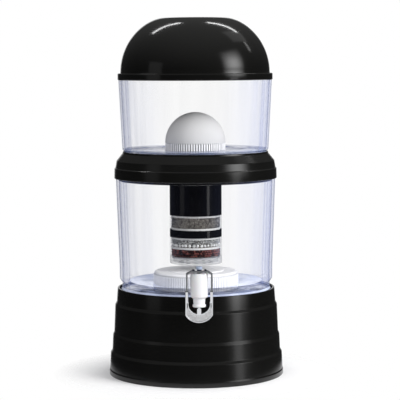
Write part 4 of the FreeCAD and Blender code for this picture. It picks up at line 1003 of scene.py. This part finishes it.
class FILTER_OT_stage(bpy.types.Operator):
    """Set the floor, the backdrop, the lamps and the camera"""
    bl_idname = "filter.stage"
    bl_label = "Floor, lamps and camera"

    def execute(self, context):
        scene = context.scene
        scene.view_settings.view_transform = "Standard"
        self.floor()
        self.world(scene)
        self.lamps()
        self.camera(scene)
        return {"FINISHED"}

    def floor(self):
        """Pale floor that fades into the backdrop some way from the object."""
        fade_from, fade_over, floor_radius = 0.150, 0.085, 0.8
        material, graph = new_material("studio_floor")
        point = object_point(graph)
        distance = graph.node("ShaderNodeVectorMath", {"operation": "LENGTH"}, {0: point})("Value")
        fade = ((distance - fade_from) / fade_over).clamped()
        lit = graph.node("ShaderNodeBsdfDiffuse", {}, {"Color": (0.93, 0.93, 0.93, 1)})("BSDF")
        open_air = graph.node("ShaderNodeBsdfTransparent")("BSDF")
        mixed = graph.node("ShaderNodeMixShader", {}, {0: fade, 1: lit, 2: open_air})("Shader")
        graph.node("ShaderNodeOutputMaterial", {}, {"Surface": mixed})
        build = bmesh.new()
        bmesh.ops.create_circle(build, cap_ends=True, radius=floor_radius, segments=96)
        piece_of("floor", build, material)

    def world(self, scene):
        """White for the eye and through clear walls. Reflections see a white backdrop behind, a dark studio
        with a paler ceiling in front of it, a soft bright band at the right and a pale ground."""
        band_x, band_y, band_half = 0.875, 0.483, 0.34
        world = bpy.data.worlds.new("studio")
        world.use_nodes = True
        world.node_tree.nodes.clear()
        graph = Graph(world.node_tree)
        path = graph.node("ShaderNodeLightPath")
        look = graph.node("ShaderNodeTexCoord")("Generated")
        parts = graph.node("ShaderNodeSeparateXYZ", {}, {0: look})
        backdrop = ((parts("Y") - 0.955) / 0.03).clamped()
        ceiling = parts("Z").most(0.0) ** 1.5
        dark = blend_colour(graph, ceiling, (0.024, 0.024, 0.025, 1), (0.30, 0.30, 0.295, 1))
        aside = parts("X") * band_y + parts("Y") * band_x
        ahead = (parts("X") * band_x - parts("Y") * band_y).clamped()
        band = (1.0 - (aside / band_half) ** 2).clamped() ** 1.5 * ahead
        rise = ((parts("Z") + 0.12) / 0.30).clamped() ** 2 * ((0.62 - parts("Z")) / 0.30).clamped()
        panel = blend_colour(graph, band * rise, dark, (5.4, 5.4, 5.4, 1))
        ground = ((-0.30 - parts("Z")) / 0.12).clamped()
        low_white = blend_colour(graph, ground, panel, (0.85, 0.85, 0.86, 1))
        room = blend_colour(graph, backdrop, low_white, (1.0, 1.0, 1.0, 1))
        soft = blend_colour(graph, path("Is Diffuse Ray"), room, (0.56, 0.56, 0.575, 1))
        white = path("Is Camera Ray").most(path("Is Transmission Ray"))
        seen = blend_colour(graph, white, soft, (1.0, 1.0, 1.0, 1))
        back = graph.node("ShaderNodeBackground", {}, {"Color": seen, "Strength": 1.0})("Background")
        graph.node("ShaderNodeOutputWorld", {}, {"Surface": back})
        scene.world = world

    def lamps(self):
        """Softboxes: two strips high behind, panels and strips at the sides, and soft key and fill lamps.

        Each has a name, its start and end, its width, its brightness, and whether surfaces mirror it.
        """
        for name, start, end, width, radiance, glint in (
                ("strip_back_left", (-0.25, 0.70, 1.90), (-1.12, 0.74, 1.90), 0.09, 10.0, True),
                ("strip_back_right", (0.25, 0.70, 1.90), (1.12, 0.74, 1.90), 0.09, 10.0, True),
                ("side_right", (1.25, 0.38, 1.48), (1.43, 0.32, 1.19), 0.04, 4.0, True),
                ("panel_right", (1.45, -0.80, 0.25), (1.36, -0.75, 1.22), 0.90, 3.6, False),
                ("strip_right", (1.34, -0.93, -0.20), (1.31, -0.90, 0.45), 0.34, 0.9, True),
                ("panel_left", (-1.42, -0.72, 0.10), (-1.34, -0.68, 0.95), 0.60, 0.16, True),
                ("roof_right", (1.00, 0.00, 1.90), (1.50, 0.90, 1.90), 0.60, 0.30, True),
                ("key", (1.30, -0.95, 1.10), (1.05, -1.30, 1.60), 0.70, 12.0, False),
                ("fill", (-0.9, -2.4, 0.9), (-0.9, -2.4, 2.1), 1.40, 2.4, False)):
            self.softbox(name, Vector(start), Vector(end), width, radiance, glint)

    def softbox(self, name, start, end, width, radiance, glint):
        """Flat lamp from start to end, that faces the object's middle and has the given brightness."""
        aim = Vector((0, 0, 0.32))
        lamp = bpy.data.lights.new(name, "AREA")
        lamp.shape = "RECTANGLE"
        lamp.size = (end - start).length
        lamp.size_y = width
        lamp.energy = radiance * 4 * lamp.size * width
        middle = (start + end) / 2
        along = (end - start).normalized()
        back = (middle - aim).normalized()
        across = back.cross(along).normalized()
        back = along.cross(across)
        holder = bpy.data.objects.new(name, lamp)
        holder.matrix_world = Matrix((along, across, back)).transposed().to_4x4()
        holder.location = middle
        holder.visible_glossy = glint
        bpy.context.scene.collection.objects.link(holder)

    def camera(self, scene):
        """Photograph's view: far away, a little above the middle, looking slightly down."""
        distance = 2.767
        height = 0.5167
        azimuth = math.radians(-1.7)
        aside = math.radians(0.17)
        pitch = math.radians(4.808)
        roll = math.radians(0.26)
        focal_length, picture_width = 1700.0, 400.0          # in pixels
        camera = bpy.data.cameras.new("camera")
        camera.sensor_width = 36.0
        camera.lens = focal_length / picture_width * camera.sensor_width
        holder = bpy.data.objects.new("camera", camera)
        holder.location = (math.sin(azimuth) * distance, -math.cos(azimuth) * distance, height)
        holder.rotation_euler = (math.pi / 2 - pitch, roll, azimuth - aside)
        scene.collection.objects.link(holder)
        scene.camera = holder


STEPS = (FILTER_OT_lid, FILTER_OT_tanks, FILTER_OT_collar, FILTER_OT_stand, FILTER_OT_dome,
         FILTER_OT_cartridge, FILTER_OT_beds, FILTER_OT_case, FILTER_OT_tap, FILTER_OT_stage)


class FILTER_PT_panel(bpy.types.Panel):
    """Lists the sizes, the colours and every step"""
    bl_idname = "FILTER_PT_panel"
    bl_label = "Water filter"
    bl_space_type = "VIEW_3D"
    bl_region_type = "UI"
    bl_category = "Water filter"

    def draw(self, context):
        for group in (context.scene.filter_sizes, context.scene.filter_colours):
            for key in group.__annotations__:
                self.layout.prop(group, key)
        for step in STEPS:
            self.layout.operator(step.bl_idname)


CLASSES = (FilterSizes, FilterColours) + STEPS + (FILTER_PT_panel,)


def register():
    for cls in CLASSES:
        bpy.utils.register_class(cls)
    bpy.types.Scene.filter_sizes = bpy.props.PointerProperty(type=FilterSizes)
    bpy.types.Scene.filter_colours = bpy.props.PointerProperty(type=FilterColours)


def unregister():
    del bpy.types.Scene.filter_colours
    del bpy.types.Scene.filter_sizes
    for cls in reversed(CLASSES):
        bpy.utils.unregister_class(cls)


def main():
    register()
    for step in STEPS:
        group, name = step.bl_idname.split(".")
        getattr(getattr(bpy.ops, group), name)()


if __name__ == "__main__":
    main()
